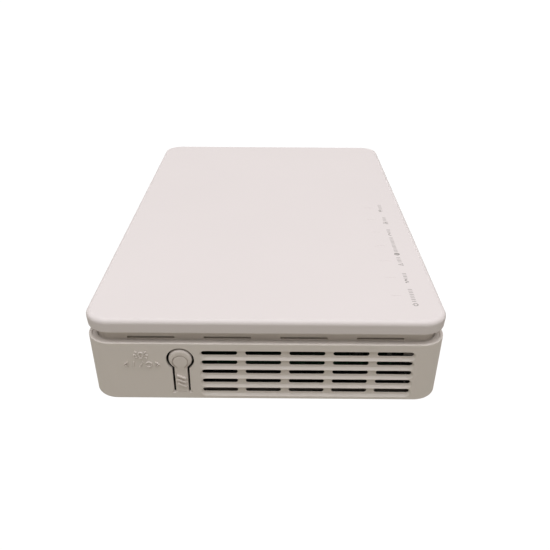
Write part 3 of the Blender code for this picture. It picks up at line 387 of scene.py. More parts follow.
class Finish(Enum):
    """Every finish on the terminal."""

    LID = MouldedPlastic("lid_plastic", "cover_white", (0.70, 0.645, 0.645), 0.56, 6200.0, 0.000004,
                         sheen=0.3)
    # housing plastic with painted shade, near-black inside the tray and on its slot walls
    HOUSING = PaintedShadePlastic("housing_plastic", "housing_white", (0.68, 0.625, 0.59), 0.50, 4200.0, 0.000010)
    NECK = MouldedPlastic("neck_plastic", "housing_white", (0.68, 0.625, 0.59), 0.52, 4200.0, 0.000008)
    BUTTON = MouldedPlastic("button_plastic", "button_white", (0.67, 0.61, 0.575), 0.42, 5200.0, 0.000005)
    SOCKET_BLACK = MouldedPlastic("socket_black_plastic", "socket_black", (0.022, 0.022, 0.024), 0.42)
    SOCKET_GREY = MouldedPlastic("socket_grey_plastic", "socket_grey", (0.23, 0.23, 0.24), 0.45)
    ADAPTER_GREEN = MouldedPlastic("adapter_green_plastic", "adapter_green", (0.012, 0.16, 0.065), 0.40)
    CHIP = MouldedPlastic("chip_epoxy", "chip_black", (0.018, 0.018, 0.020), 0.58, 2600.0, 0.000012, 0.05)
    SLEEVE = MouldedPlastic("capacitor_sleeve_film", "capacitor_sleeve", (0.020, 0.022, 0.045), 0.30)
    FERRITE = MouldedPlastic("fired_ferrite", "ferrite_grey", (0.075, 0.075, 0.080), 0.62, 1800.0,
                             0.00002, 0.08)
    COAX = MouldedPlastic("coax_jacket_plastic", "coax_jacket", (0.10, 0.10, 0.105), 0.48)
    FILM = MouldedPlastic("label_film_satin", "label_film", (0.62, 0.62, 0.61), 0.34, 900.0, 0.000002)
    CERAMIC = MouldedPlastic("ferrule_ceramic", "cover_white", (0.72, 0.71, 0.68), 0.22, 900.0, 0.000001)
    TIN = SheetMetal("tin_plate_metal", "tin_plate", (0.66, 0.67, 0.68), 0.30)
    FIN = SheetMetal("anodised_fin_metal", "aluminium_fin", (0.70, 0.71, 0.73), 0.38)
    ZINC = SheetMetal("zinc_screw_metal", "zinc_screw", (0.56, 0.56, 0.54), 0.30, (6.0, 6.0, 1.0))
    GOLD = SheetMetal("contact_gold", "tin_plate", (0.83, 0.62, 0.26), 0.22)
    BOARD = CircuitLaminate("board_laminate", "board_green", (0.006, 0.050, 0.022), (0.030, 0.13, 0.055))
    ANTENNA = CircuitLaminate("antenna_laminate", "antenna_board", (0.012, 0.030, 0.060), (0.25, 0.16, 0.06))
    RUBBER = SoftRubber("foot_rubber_matt", "foot_rubber", (0.11, 0.11, 0.11))
    INK = PrintedInk("legend_ink_grey", "label_film", (0.26, 0.24, 0.23))
    LAMP = ClearResin("lamp_resin", "led_lens", (0.86, 0.88, 0.80), 0.2, 0.5)
    ACRYLIC = ClearResin("guide_acrylic", "clear_acrylic", (0.92, 0.94, 0.95))

    def material(self) -> bpy.types.Material:
        """Return the finish's material, made on first use."""
        return bpy.data.materials.get(self.value.name) or self.value.build()

    def dress(self, piece: bpy.types.Object) -> None:
        """Give the finish to a new piece."""
        piece.data.materials.clear()
        piece.data.materials.append(self.material())


# ---- modelling bench --------------------------------------------------------------
def activate(piece: bpy.types.Object) -> None:
    """Make a piece the only selected and the active object."""
    if bpy.context.object and bpy.context.object.mode != "OBJECT":
        bpy.ops.object.mode_set(mode="OBJECT")
    bpy.ops.object.select_all(action="DESELECT")
    piece.select_set(True)
    bpy.context.view_layer.objects.active = piece


def settle(piece: bpy.types.Object) -> bpy.types.Object:
    """Move a piece's place into its mesh, so that its object sits at the origin."""
    activate(piece)
    bpy.ops.object.transform_apply(location=True, rotation=True, scale=True)
    return piece


@contextmanager
def editing(piece: bpy.types.Object, pick: str = "EDGE") -> Iterator[bmesh.types.BMesh]:
    """Open a piece in edit mode with nothing selected.

    Args:
        piece: the piece to edit.
        pick: VERT, EDGE or FACE, the kind of element that is selected.

    Yields:
        The edit mesh, for selecting by place.
    """
    activate(piece)
    bpy.ops.object.mode_set(mode="EDIT")
    bpy.ops.mesh.select_mode(type=pick)
    bpy.ops.mesh.select_all(action="DESELECT")
    yield bmesh.from_edit_mesh(piece.data)
    bpy.ops.object.mode_set(mode="OBJECT")


def select_where(piece: bpy.types.Object, mesh: bmesh.types.BMesh, kind: str,
                 test: Callable[[Vector], bool]) -> int:
    """Select the edges or faces whose every corner passes a test.

    Args:
        piece: the piece in edit mode.
        mesh: its edit mesh.
        kind: "edges" or "faces".
        test: tells whether a corner's place belongs.

    Returns:
        How many were selected.
    """
    found = 0
    for item in getattr(mesh, kind):
        if all(test(vert.co) for vert in item.verts):
            item.select_set(True)
            found += 1
    mesh.select_flush_mode()
    bmesh.update_edit_mesh(piece.data)
    return found


def near(value: float, target: float, slack: float = 1e-6) -> bool:
    """Tell whether two lengths agree."""
    return abs(value - target) < slack


def block(name: str, low: Iterable[float], high: Iterable[float]) -> bpy.types.Object:
    """Add a box between two corners."""
    low, high = Vector(low), Vector(high)
    activate_nothing()
    bpy.ops.mesh.primitive_cube_add(size=1.0, location=(low + high) / 2, scale=high - low)
    piece = bpy.context.object
    piece.name = name
    return settle(piece)


def rod(name: str, radius: float, start: Iterable[float], end: Iterable[float],
        sides: int = 48) -> bpy.types.Object:
    """Add a capped cylinder from start to end."""
    start, end = Vector(start), Vector(end)
    activate_nothing()
    bpy.ops.mesh.primitive_cylinder_add(vertices=sides, radius=radius, depth=(end - start).length,
                                        location=(start + end) / 2,
                                        rotation=(end - start).to_track_quat("Z", "Y").to_euler())
    piece = bpy.context.object
    piece.name = name
    return settle(piece)


def activate_nothing() -> None:
    """Leave edit mode and deselect everything, ready for a new primitive."""
    if bpy.context.object and bpy.context.object.mode != "OBJECT":
        bpy.ops.object.mode_set(mode="OBJECT")
    bpy.ops.object.select_all(action="DESELECT")


def round_edges(piece: bpy.types.Object, test: Callable[[Vector, Vector], bool], radius: float,
                segments: int) -> None:
    """Bevel the edges whose two ends pass a test."""
    with editing(piece) as mesh:
        for edge in mesh.edges:
            if test(edge.verts[0].co, edge.verts[1].co):
                edge.select_set(True)
        bmesh.update_edit_mesh(piece.data)
        bpy.ops.mesh.bevel(offset=radius, offset_type="OFFSET", segments=segments, profile=0.5,
                           affect="EDGES", clamp_overlap=True)


def round_along(piece: bpy.types.Object, axis: int, radius: float, segments: int) -> None:
    """Bevel a block's edges that run along one axis."""
    def runs(first: Vector, second: Vector) -> bool:
        return all(near(first[k], second[k]) for k in range(3) if k != axis)
    round_edges(piece, runs, radius, segments)


def round_face(piece: bpy.types.Object, axis: int, place: float, radius: float, segments: int) -> None:
    """Bevel the border of the flat face that lies at a place on an axis."""
    round_edges(piece, lambda a, b: near(a[axis], place) and near(b[axis], place), radius, segments)


def shift_face(piece: bpy.types.Object, axis: int, place: float, scale: Point, shift: Point,
               centre: Point) -> None:
    """Resize and move the flat face at a place on an axis, which drafts the sides."""
    with editing(piece, "FACE") as mesh:
        select_where(piece, mesh, "faces", lambda co: near(co[axis], place))
        bpy.ops.transform.resize(value=scale, center_override=centre)
        bpy.ops.transform.translate(value=shift)


def modify(piece: bpy.types.Object, kind: str, **settings: object) -> None:
    """Add a modifier with its settings and apply it."""
    activate(piece)
    modifier = piece.modifiers.new(kind.lower(), kind)
    for key, value in settings.items():
        setattr(modifier, key, value)
    bpy.ops.object.modifier_apply(modifier=modifier.name)


def work(piece: bpy.types.Object, other: bpy.types.Object, operation: str = "DIFFERENCE") -> None:
    """Cut or join another shape with an exact Boolean, then remove that shape."""
    modify(piece, "BOOLEAN", operation=operation, solver="EXACT", object=other)
    bpy.data.objects.remove(other, do_unlink=True)


def copies(piece: bpy.types.Object, places: Iterable[Matrix]) -> bpy.types.Object:
    """Replace a piece by one object that holds a copy at each placing matrix."""
    made = []
    for place in places:
        twin = piece.copy()
        twin.data = piece.data.copy()
        twin.data.transform(place)
        bpy.context.scene.collection.objects.link(twin)
        made.append(twin)
    bpy.data.objects.remove(piece, do_unlink=True)
    return weld_objects(made)


def weld_objects(pieces: list[bpy.types.Object]) -> bpy.types.Object:
    """Join several objects into the first."""
    activate(pieces[0])
    for piece in pieces:
        piece.select_set(True)
    if len(pieces) > 1:
        bpy.ops.object.join()
    return bpy.context.object


def soften(piece: bpy.types.Object, width: float, segments: int = 2) -> None:
    """Round every sharp edge slightly, as a mould does."""
    modify(piece, "BEVEL", width=width, segments=segments, limit_method="ANGLE",
           angle_limit=SMOOTH_ANGLE, use_clamp_overlap=True, miter_outer="MITER_ARC")


def smooth(piece: bpy.types.Object, even: bool = True) -> None:
    """Shade by angle, with flat faces kept flat."""
    activate(piece)
    bpy.ops.object.shade_smooth_by_angle(angle=SMOOTH_ANGLE)
    if even:
        modify(piece, "WEIGHTED_NORMAL", keep_sharp=True, weight=100)


def hand_over(piece: bpy.types.Object, name: str, finish: Finish, body: str = TERMINAL,
              *nodes: str, even: bool = True) -> bpy.types.Object:
    """Finish a piece: shading, name, finish, body and the solids that it stands for.

    Args:
        piece: the finished mesh.
        name: its name.
        finish: its finish.
        body: the body that it rides on.
        nodes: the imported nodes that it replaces.
        even: whether flat faces keep flat shading next to rounded edges.

    Returns:
        The piece.
    """
    smooth(piece, even)
    piece.name = name
    piece.data.name = name
    finish.dress(piece)
    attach(piece, body)
    if nodes:
        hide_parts(*nodes)
    LOG.info("%s: %d faces on %s", name, len(piece.data.polygons), body)
    return piece


def stadium(name: str, length: float, height: float, depth: float, segments: int = 8) -> bpy.types.Object:
    """Add a slot-shaped prism about the origin, long along X and deep along Y."""
    piece = block(name, (-length / 2, -depth / 2, -height / 2), (length / 2, depth / 2, height / 2))
    round_along(piece, 1, height / 2 - 1e-6, segments)
    return piece


# ---- enclosure --------------------------------------------------------------------
@dataclass
class Wall:
    """One drafted end wall of the housing, on which shapes are placed."""

    side: int = -1
    rim_z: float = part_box("lower_housing")[1][2]
    rim_y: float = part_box("lower_housing")[1][1]

    def place(self, x: float, drop: float) -> Matrix:
        """Return the placing matrix for a point that lies drop below the rim."""
        y = self.side * (self.rim_y - drop * math.sin(WALL_DRAFT))
        z = self.rim_z - drop * math.cos(WALL_DRAFT)
        return Matrix.Translation((x, y, z)) @ Matrix.Rotation(-self.side * WALL_DRAFT, 4, "X")


@dataclass
class Indicators:
    """The row of indicator windows and legends along the lid's right edge."""

    lamp_names: list[str] = field(default_factory=lambda: [f"status_led_{n}" for n in range(1, 8)])

    def lamp_middles(self) -> list[Vector]:
        """Return the lamps' middles, near to far."""
        return [(Vector(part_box(name)[0]) + Vector(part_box(name)[1])) / 2 for name in self.lamp_names]


@dataclass
class Lid:
    """The floating top cover with its rounded edge and hollow underside."""

    corner_r: float = 8.0 * MM
    edge_r: float = 1.5 * MM
    taper: float = 0.2 * MM
    side: float = 2.3 * MM
    skin: float = 2.0 * MM
    lower_z: float = 25.6 * MM
    window: tuple[float, float, float] = (3.6 * MM, 1.0 * MM, 0.035 * MM)
    lower_edge_r: float = 0.4 * MM
    neck_wall: float = 1.8 * MM
    tongue: Point = (1.2 * MM, 8.0 * MM, 23.5 * MM)
    tongue_ys: Point = (-55 * MM, 0.0, 55 * MM)

    def build(self) -> None:
        """Model the lid and its snap tongues."""
        low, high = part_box("top_cover")
        shell = block("lid", (low[0], low[1], self.lower_z), high)
        round_along(shell, 2, self.corner_r, 20)
        round_face(shell, 2, high[2], self.edge_r, 8)
        factors = [1 - self.taper / high[k] for k in (0, 1)]
        shift_face(shell, 2, self.lower_z, (*factors, 1.0), (0, 0, 0), (0, 0, self.lower_z))
        round_face(shell, 2, self.lower_z, self.lower_edge_r, 3)
        self.hollow(shell, high[2] - self.skin)
        work(shell, self.windows(high[2]))
        hand_over(shell, "lid_shell", Finish.LID, TERMINAL, "top_cover")
        self.tongues(high)

    def hollow(self, shell: bpy.types.Object, ceiling_z: float) -> None:
        """Press the underside in, leaving the side wall and the skin."""
        with editing(shell, "FACE") as mesh:
            select_where(shell, mesh, "faces", lambda co: near(co.z, self.lower_z))
            bpy.ops.mesh.inset(thickness=self.side - self.lower_edge_r)
            bpy.ops.mesh.extrude_region_move(
                TRANSFORM_OT_translate={"value": (0, 0, ceiling_z - self.lower_z)})

    def windows(self, top_z: float) -> bpy.types.Object:
        """Return the cutter of the thin places over the indicator lamps."""
        cutter = stadium("window_cutter", self.window[0], self.window[1], 2 * self.window[2], 6)
        cutter.data.transform(Matrix.Rotation(math.pi / 2, 4, "X"))
        return copies(cutter, [Matrix.Translation((lamp.x, lamp.y, top_z))
                               for lamp in Indicators().lamp_middles()])

    def tongues(self, high: Iterable[float]) -> None:
        """Model the six snap tongues that hold the lid on the neck."""
        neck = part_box("vent_frame")
        inner = neck[1][0] - self.neck_wall
        thickness, width, low_z = self.tongue
        tongue = block("tongue", (-thickness, -width / 2, low_z),
                       (0, width / 2, high[2] - self.skin - 0.01 * MM))
        round_face(tongue, 2, low_z, 0.5 * MM, 2)
        places = [Matrix.Translation((side * inner + (thickness if side < 0 else 0), y, 0))
                  for side in (-1, 1) for y in self.tongue_ys]
        for index, place in enumerate(places, start=1):
            twin = tongue.copy()
            twin.data = tongue.data.copy()
            twin.data.transform(place)
            bpy.context.scene.collection.objects.link(twin)
            hand_over(twin, f"lid_tongue_{index}", Finish.LID)
        bpy.data.objects.remove(tongue, do_unlink=True)


@dataclass
class Grille:
    """Rows of slots that lie in long channels with a slope along their lower side."""

    rows: int = 5
    columns: int = 5
    first_x: float = -14.17 * MM
    column_pitch: float = 13.45 * MM
    row_pitch: float = 3.56 * MM
    first_drop: float = 3.85 * MM
    slot: tuple[float, float] = (11.0 * MM, 1.5 * MM)
    channel_top: float = 2.65 * MM
    channel: Point = (66.0 * MM, 3.40 * MM, 0.72 * MM)
    slope: float = 0.72 * MM

    def slots(self, wall: Wall) -> bpy.types.Object:
        """Return the cutter of all the slots."""
        cutter = stadium("slot_cutter", *self.slot, 12 * MM, 8)
        return copies(cutter, [wall.place(self.first_x + column * self.column_pitch,
                                          self.first_drop + row * self.row_pitch)
                               for row in range(self.rows) for column in range(self.columns)])

    def channels(self, wall: Wall) -> bpy.types.Object:
        """Return the cutter of the channels, whose lower walls slope outwards."""
        length, height, depth = self.channel
        cutter = stadium("channel_cutter", length, height, 2 * depth, 12)
        deep = depth if wall.side < 0 else -depth
        fall = self.slope
        shift_face(cutter, 1, deep, ((length - 2 * fall) / length, 1.0, (height - fall) / height),
                   (0, 0, fall / 2), (0, deep, 0))
        shift_face(cutter, 1, -deep, ((length + 2 * fall) / length, 1.0, (height + fall) / height),
                   (0, 0, -fall / 2), (0, -deep, 0))
        middle_x = self.first_x + (self.columns - 1) / 2 * self.column_pitch
        middle_drop = self.channel_top + height / 2
        return copies(cutter, [wall.place(middle_x, middle_drop + row * self.row_pitch)
                               for row in range(self.rows)])


@dataclass
class Housing:
    """The lower tray with its drafted walls, grilles, sockets' windows and floor openings."""

    corner_r: float = 8.0 * MM
    side_draft: float = math.radians(1.0)
    rim_r: float = 0.52 * MM
    lip: tuple[float, float] = (1.1 * MM, 0.35 * MM)
    foot_r: float = 0.6 * MM
    wall: float = 2.6 * MM
    floor: float = 2.0 * MM
    opening_r: float = 4.3 * MM
    button_x: float = -26.15 * MM
    button_drop: float = 6.09 * MM
    root_drop: float = 18.7 * MM
    stem_slot: tuple[float, float] = (2.68 * MM, 2.62 * MM)
    case_screw: tuple[float, float] = (47.3 * MM, 79.9 * MM)
    boss: tuple[float, float] = (4.4 * MM, 12.2 * MM)
    screw_well: tuple[float, float] = (3.1 * MM, 8.0 * MM)
    shank_hole: Point = (1.6 * MM, 7.0 * MM, 13.0 * MM)
    foot_at: tuple[float, float] = (40.0 * MM, 64.0 * MM)
    foot_pocket: tuple[float, float] = (4.3 * MM, 0.8 * MM)
    behind_grille: Point = (1.30 * MM, 18.2 * MM, 1.2 * MM)
    rear_run: tuple[float, float] = (-56 * MM, -49.5 * MM)
    cap_half: float = 3.6 * MM
    pinhole_r: float = 1.0 * MM
    vent: Point = (48.0 * MM, 1.6 * MM, 3.2 * MM)
    vent_rows: int = 11
    vent_y: float = 31.0 * MM
    keyhole: tuple[float, float, float, float] = (32.0 * MM, 41.5 * MM, 4.0 * MM, 1.9 * MM)
    keyhole_ys: tuple[float, float] = (-50 * MM, 50 * MM)
    label: tuple[tuple[float, float], tuple[float, float]] = ((-20 * MM, -72 * MM), (20 * MM, -55.5 * MM))
    label_depth: float = 0.5 * MM

    def build(self) -> None:
        """Model the tray."""
        low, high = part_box("lower_housing")
        self.low_z, self.high_z = low[2], high[2]
        self.floor_z = self.low_z + self.floor
        tray = block("tray", low, high)
        round_along(tray, 2, self.corner_r, 18)
        factors = self.draft(self.high_z - self.low_z, high[0], high[1])
        shift_face(tray, 2, self.low_z, factors, (0, 0, 0), (0, 0, self.low_z))
        self.hollow(tray, high)
        round_face(tray, 2, self.high_z, self.rim_r, 6)
        round_face(tray, 2, self.low_z, self.foot_r, 4)
        work(tray, self.bosses(), "UNION")
        for wall in (Wall(-1), Wall(1)):
            work(tray, self.thinning(wall))
            work(tray, Grille().channels(wall))
            work(tray, Grille().slots(wall))
        work(tray, self.button_opening())
        work(tray, self.stem_opening())
        work(tray, self.slot_feet())
        for cutter in self.rear_windows():
            work(tray, cutter)
        for cutter in self.floor_openings():
            work(tray, cutter)
        soften(tray, 0.10 * MM)
        hand_over(tray, "housing_shell", Finish.HOUSING, TERMINAL, "lower_housing")

    def hollow(self, tray: bpy.types.Object, high: Iterable[float]) -> None:
        """Press the top in to the step behind the lip, then down to the floor, following the draft."""
        depth = self.high_z - self.floor_z
        width, step = self.lip
        with editing(tray, "FACE") as mesh:
            select_where(tray, mesh, "faces", lambda co: near(co.z, self.high_z))
            bpy.ops.mesh.inset(thickness=width)
            bpy.ops.mesh.extrude_region_move(TRANSFORM_OT_translate={"value": (0, 0, -step)})
            bpy.ops.mesh.inset(thickness=self.wall - width)
            bpy.ops.mesh.extrude_region_move(TRANSFORM_OT_translate={"value": (0, 0, step - depth)})
            bpy.ops.transform.resize(value=self.draft(depth, high[0] - self.wall, high[1] - self.wall),
                                     center_override=(0, 0, self.floor_z))

    def draft(self, depth: float, half_x: float, half_y: float) -> Point:
        """Return the scale that pulls a level in by the walls' draft over a depth."""
        return (1 - depth * math.tan(self.side_draft) / half_x,
                1 - depth * math.tan(WALL_DRAFT) / half_y, 1.0)

    def thinning(self, wall: Wall) -> bpy.types.Object:
        """Return the cutter that thins the wall from inside behind the grille."""
        grille = Grille()
        half_x = grille.channel[0] / 2
        middle_x = grille.first_x + (grille.columns - 1) / 2 * grille.column_pitch
        depth, below, above = self.behind_grille
        inner, outer = sorted((-wall.side * depth, -wall.side * 4 * MM))
        cutter = block("thinning", (-half_x, inner, -below), (half_x + 1 * MM, outer, above))
        cutter.data.transform(wall.place(middle_x, grille.channel_top))
        return cutter

    def corners(self, spot: tuple[float, float]) -> list[tuple[float, float]]:
        """Return the four mirror places of one spot."""
        return [(sx * spot[0], sy * spot[1]) for sy in (-1, 1) for sx in (-1, 1)]

    def bosses(self) -> bpy.types.Object:
        """Return the pillars round the case screws."""
        radius, top_z = self.boss
        return weld_objects([rod("boss", radius, (x, y, self.floor_z - 0.5 * MM), (x, y, top_z))
                             for x, y in self.corners(self.case_screw)])

    def button_opening(self) -> bpy.types.Object:
        """Return the cutter of the round part of the button's opening."""
        place = Wall().place(self.button_x, self.button_drop)
        return rod("button_cutter", self.opening_r, place @ Vector((0, -4 * MM, 0)),
                   place @ Vector((0, 6 * MM, 0)), 72)

    def stem_opening(self) -> bpy.types.Object:
        """Return the cutter of the tapering slot below the round part."""
        height = self.root_drop - self.button_drop
        top, foot = self.stem_slot
        cutter = block("stem_cutter", (-top, -4 * MM, 0), (top, 6 * MM, height))
        shift_face(cutter, 2, 0.0, (foot / top, 1.0, 1.0), (0, 0, 0), (0, 0, 0))
        cutter.data.transform(Wall().place(self.button_x, self.root_drop))
        return cutter

    def slot_feet(self) -> bpy.types.Object:
        """Return the cutter of the small slopes at the feet of the two side slots."""
        foot = self.stem_slot[1]
        notch = block("notch", (-0.55 * MM, -0.6 * MM, -0.9 * MM), (0.55 * MM, 0.5 * MM, 0.3 * MM))
        shift_face(notch, 1, 0.5 * MM, (1.0, 1.0, 0.25), (0, 0, 0.4 * MM), (0, 0.5 * MM, -0.3 * MM))
        place = Wall().place(self.button_x, self.root_drop)
        return copies(notch, [place @ Matrix.Translation((side * (foot - 0.05 * MM), 0, 0))
                              for side in (-1, 1)])

    def rear_windows(self) -> list[bpy.types.Object]:
        """Return the cutters of the sockets' windows and the pinhole."""
        gap = 0.3 * MM
        outer_x, inner_x = self.rear_run
        lan_names = [f"lan_socket_{n}" for n in range(1, 5)]
        boxes = [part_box(name) for name in (*lan_names, "telephone_socket", "power_jack", "fibre_adapter")]
        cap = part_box("power_button")
        cap_middle = (Vector(cap[0]) + Vector(cap[1])) / 2
        boxes.append(((0, cap_middle.y - self.cap_half, cap_middle.z - self.cap_half),
                      (0, cap_middle.y + self.cap_half, cap_middle.z + self.cap_half)))
        windows = [block("window", (outer_x, low[1] - gap, low[2] - gap),
                         (inner_x, high[1] + gap, high[2] + gap)) for low, high in boxes]
        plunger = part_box("reset_button")
        y, z = (plunger[0][1] + plunger[1][1]) / 2, (plunger[0][2] + plunger[1][2]) / 2
        pinhole = rod("pinhole", self.pinhole_r, (outer_x, y, z), (inner_x, y, z), 32)
        return [weld_objects(windows), pinhole]

    def floor_openings(self) -> list[bpy.types.Object]:
        """Return the cutters of the floor's vents, keyholes, pockets and screw wells."""
        below = -1 * MM
        above = self.floor_z + 1 * MM
        length, width, pitch = self.vent
        vent = stadium("vent", length, width, 8 * MM, 5)
        vent.data.transform(Matrix.Rotation(math.pi / 2, 4, "X"))
        middle = (self.vent_rows - 1) // 2
        vents = copies(vent, [Matrix.Translation((0, side * self.vent_y + (row - middle) * pitch, 1.5 * MM))
                              for side in (-1, 1) for row in range(self.vent_rows)])
        pocket_r, pocket_depth = self.foot_pocket
        pockets = weld_objects([rod("pocket", pocket_r, (x, y, below), (x, y, self.low_z + pocket_depth))
                                for x, y in self.corners(self.foot_at)])
        well_r, well_z = self.screw_well
        wells = weld_objects([rod("well", well_r, (x, y, below), (x, y, well_z), 40)
                              for x, y in self.corners(self.case_screw)])
        shank_r, shank_low, shank_high = self.shank_hole
        shanks = weld_objects([rod("shank", shank_r, (x, y, shank_low), (x, y, shank_high), 24)
                               for x, y in self.corners(self.case_screw)])
        mouth_x, neck_x, mouth_r, neck_half = self.keyhole
        mouths = weld_objects([rod("mouth", mouth_r, (mouth_x, y, below), (mouth_x, y, above), 40)
                               for y in self.keyhole_ys])
        necks = weld_objects([block("neck", (mouth_x, y - neck_half, below), (neck_x, y + neck_half, above))
                              for y in self.keyhole_ys])
        low, high = self.label
        label = block("label_pocket", (*low, below), (*high, self.low_z + self.label_depth))
        return [vents, pockets, wells, shanks, mouths, necks, label]


# ---- light button -----------------------------------------------------------------
@dataclass
class LightButton:
    """Tongue with a round rimmed head, a thumb pad and three slanting ribs on its stem."""

    head_r: float = 3.6 * MM
    head_round: float = 0.85 * MM
    proud: float = 0.25 * MM
    moat: tuple[float, float, float] = (2.55 * MM, 0.20 * MM, 0.80 * MM)
    pad: tuple[float, float, float] = (2.30 * MM, -0.22 * MM, 0.41 * MM)
    pad_run: tuple[float, float, float] = (1.20 * MM, -0.14 * MM, 3.75 * MM)
    stem_half: float = 2.0 * MM
    stem_face: float = 0.05 * MM
    thickness: float = 1.6 * MM
    root_gap: float = 0.06 * MM
    rib: tuple[float, float, float] = (1.55 * MM, 0.58 * MM, 0.38 * MM)
    rib_first: float = 6.55 * MM
    rib_pitch: float = 1.58 * MM
    rib_slant: float = math.radians(27)
    arm: Point = (1.2 * MM, 1.0 * MM, 0.8 * MM)

    def build(self) -> None:
        """Model the tongue in its own upright place, then lay it on the wall."""
        housing = Housing()
        rise = housing.root_drop - housing.button_drop
        face = self.stem_face
        stem = block("stem", (-self.stem_half, face, self.root_gap), (self.stem_half, self.thickness, rise))
        round_edges(stem, lambda a, b: near(a.y, face) and near(b.y, face) and near(a.x, b.x), 0.25 * MM, 4)
        work(stem, self.head(rise), "UNION")
        work(stem, self.moat_cutter(rise))
        work(stem, self.thumb_pad(rise), "UNION")
        work(stem, self.ribs(rise), "UNION")
        work(stem, self.actuator(housing), "UNION")
        soften(stem, 0.06 * MM)
        stem.data.transform(Wall().place(housing.button_x, housing.root_drop))
        hand_over(stem, "light_button_tongue", Finish.BUTTON, "light_button", "light_button")

    def head(self, rise: float) -> bpy.types.Object:
        """Return the disc with its well-rounded front edge."""
        front = -self.proud
        disc = rod("head", self.head_r, (0, front, rise), (0, self.thickness + 0.1 * MM, rise), 80)
        round_face(disc, 1, front, self.head_round, 8)
        return disc

    def moat_cutter(self, rise: float) -> bpy.types.Object:
        """Return the cutter of the round moat, which opens towards the stem."""
        radius, depth, sink = self.moat
        ring = rod("moat", radius, (0, -2 * MM, rise - sink), (0, depth, rise - sink), 64)
        gate = block("gate", (-1.7 * MM, -2 * MM, rise - 4.2 * MM), (1.7 * MM, self.stem_face, rise - sink))
        work(ring, gate, "UNION")
        return ring

    def thumb_pad(self, rise: float) -> bpy.types.Object:
        """Return the pad that rises in the head's middle and runs down to the stem."""
        radius, front, edge = self.pad
        half, run_front, run = self.pad_run
        sunk = rise - self.moat[2]
        button = rod("pad", radius, (0, front, sunk), (0, 0.8 * MM, sunk), 56)
        round_face(button, 1, front, edge, 6)
        bar = block("run", (-half, run_front, rise - run), (half, 0.7 * MM, rise))
        round_edges(bar, lambda a, b: near(a.y, run_front) and near(b.y, run_front) and near(a.x, b.x),
                    0.25 * MM, 4)
        work(button, bar, "UNION")
        return button

    def ribs(self, rise: float) -> bpy.types.Object:
        """Return the three slanting grip ribs."""
        half, proud, thick = self.rib
        front = self.stem_face - proud
        rib = block("rib", (-half, front, -thick), (half, self.stem_face + 0.4 * MM, thick))
        round_face(rib, 1, front, 0.26 * MM, 4)
        tilt = Matrix.Rotation(self.rib_slant, 4, "Y")
        return copies(rib, [Matrix.Translation((0, 0, rise - self.rib_first - index * self.rib_pitch)) @ tilt
                            for index in range(3)])

    def actuator(self, housing: Housing) -> bpy.types.Object:
        """Return the arm that reaches the switch behind the wall."""
        arm_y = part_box("light_button")[1][1]
        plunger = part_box("light_switch_plunger")
        target = Wall().place(housing.button_x, housing.root_drop).inverted() @ Vector(
            (housing.button_x, arm_y, (plunger[0][2] + plunger[1][2]) / 2))
        half_width, root_y, half_height = self.arm
        return block("arm", (-half_width, root_y, target.z - half_height),
                     (half_width, target.y, target.z + half_height))


# ---- pictograms -------------------------------------------------------------------
Stroke = list[tuple[float, float]]


def arc(x: float, y: float, radius: float, start: float, end: float, steps: int = 20) -> Stroke:
    """Return points on an arc, angles being in degrees."""
    return [(x + radius * math.cos(math.radians(start + (end - start) * k / steps)),
             y + radius * math.sin(math.radians(start + (end - start) * k / steps)))
            for k in range(steps + 1)]


class Pictogram(Enum):
    """Generic signs, each a list of strokes about a middle, one unit high."""

    POWER = [arc(0, -0.05, 0.42, 125, 415), [(0, 0.5), (0, 0.05)]]
    FIBRE = [[(-0.5, -0.25), (-0.2, -0.25), (0.2, 0.25), (0.5, 0.25)], arc(0.5, 0.0, 0.12, 0, 360, 12),
             arc(-0.5, 0.15, 0.12, 0, 360, 12)]
    ALERT = [[(0, 0.5), (0.5, -0.42), (-0.5, -0.42), (0, 0.5)], [(0, 0.15), (0, -0.15)]]
    GLOBE = [arc(0, 0, 0.48, 0, 360, 28), [(-0.48, 0), (0.48, 0)], arc(-0.35, 0, 0.6, -52, 52),
             arc(0.35, 0, 0.6, 128, 232)]
    HANDSET = [arc(0, -0.55, 0.75, 40, 140), [(-0.57, -0.07), (-0.42, -0.32)],
               [(0.57, -0.07), (0.42, -0.32)]]
    NETWORK = [[(-0.15, 0.2), (0.15, 0.2), (0.15, 0.48), (-0.15, 0.48), (-0.15, 0.2)],
               [(0, 0.2), (0, -0.02)], [(-0.42, -0.2), (-0.42, -0.02), (0.42, -0.02), (0.42, -0.2)],
               [(-0.55, -0.46), (-0.28, -0.46), (-0.28, -0.2), (-0.55, -0.2), (-0.55, -0.46)],
               [(0.55, -0.46), (0.28, -0.46), (0.28, -0.2), (0.55, -0.2), (0.55, -0.46)]]
    WIRELESS = [arc(0, -0.4, 0.9, 48, 132), arc(0, -0.4, 0.58, 48, 132), arc(0, -0.4, 0.26, 48, 132, 8)]
    BULB = [arc(0, 0.08, 0.34, -60, 240), [(-0.18, -0.42), (0.18, -0.42)],
            [(-0.60, 0.08), (-0.95, 0.08)], [(0.60, 0.08), (0.95, 0.08)],
            [(-0.48, 0.42), (-0.75, 0.60)], [(0.48, 0.42), (0.75, 0.60)],
            [(-0.48, -0.26), (-0.75, -0.44)], [(0.48, -0.26), (0.75, -0.44)]]
    ON_OFF = [[(-2.55, 0.0), (-2.05, 0.40), (-2.05, -0.40), (-2.55, 0.0)], [(-1.15, 0.45), (-1.15, -0.45)],
              [(-0.30, -0.46), (0.20, 0.46)], arc(1.05, 0, 0.43, 0, 360, 28),
              [(2.55, 0.0), (2.05, 0.40), (2.05, -0.40), (2.55, 0.0)]]


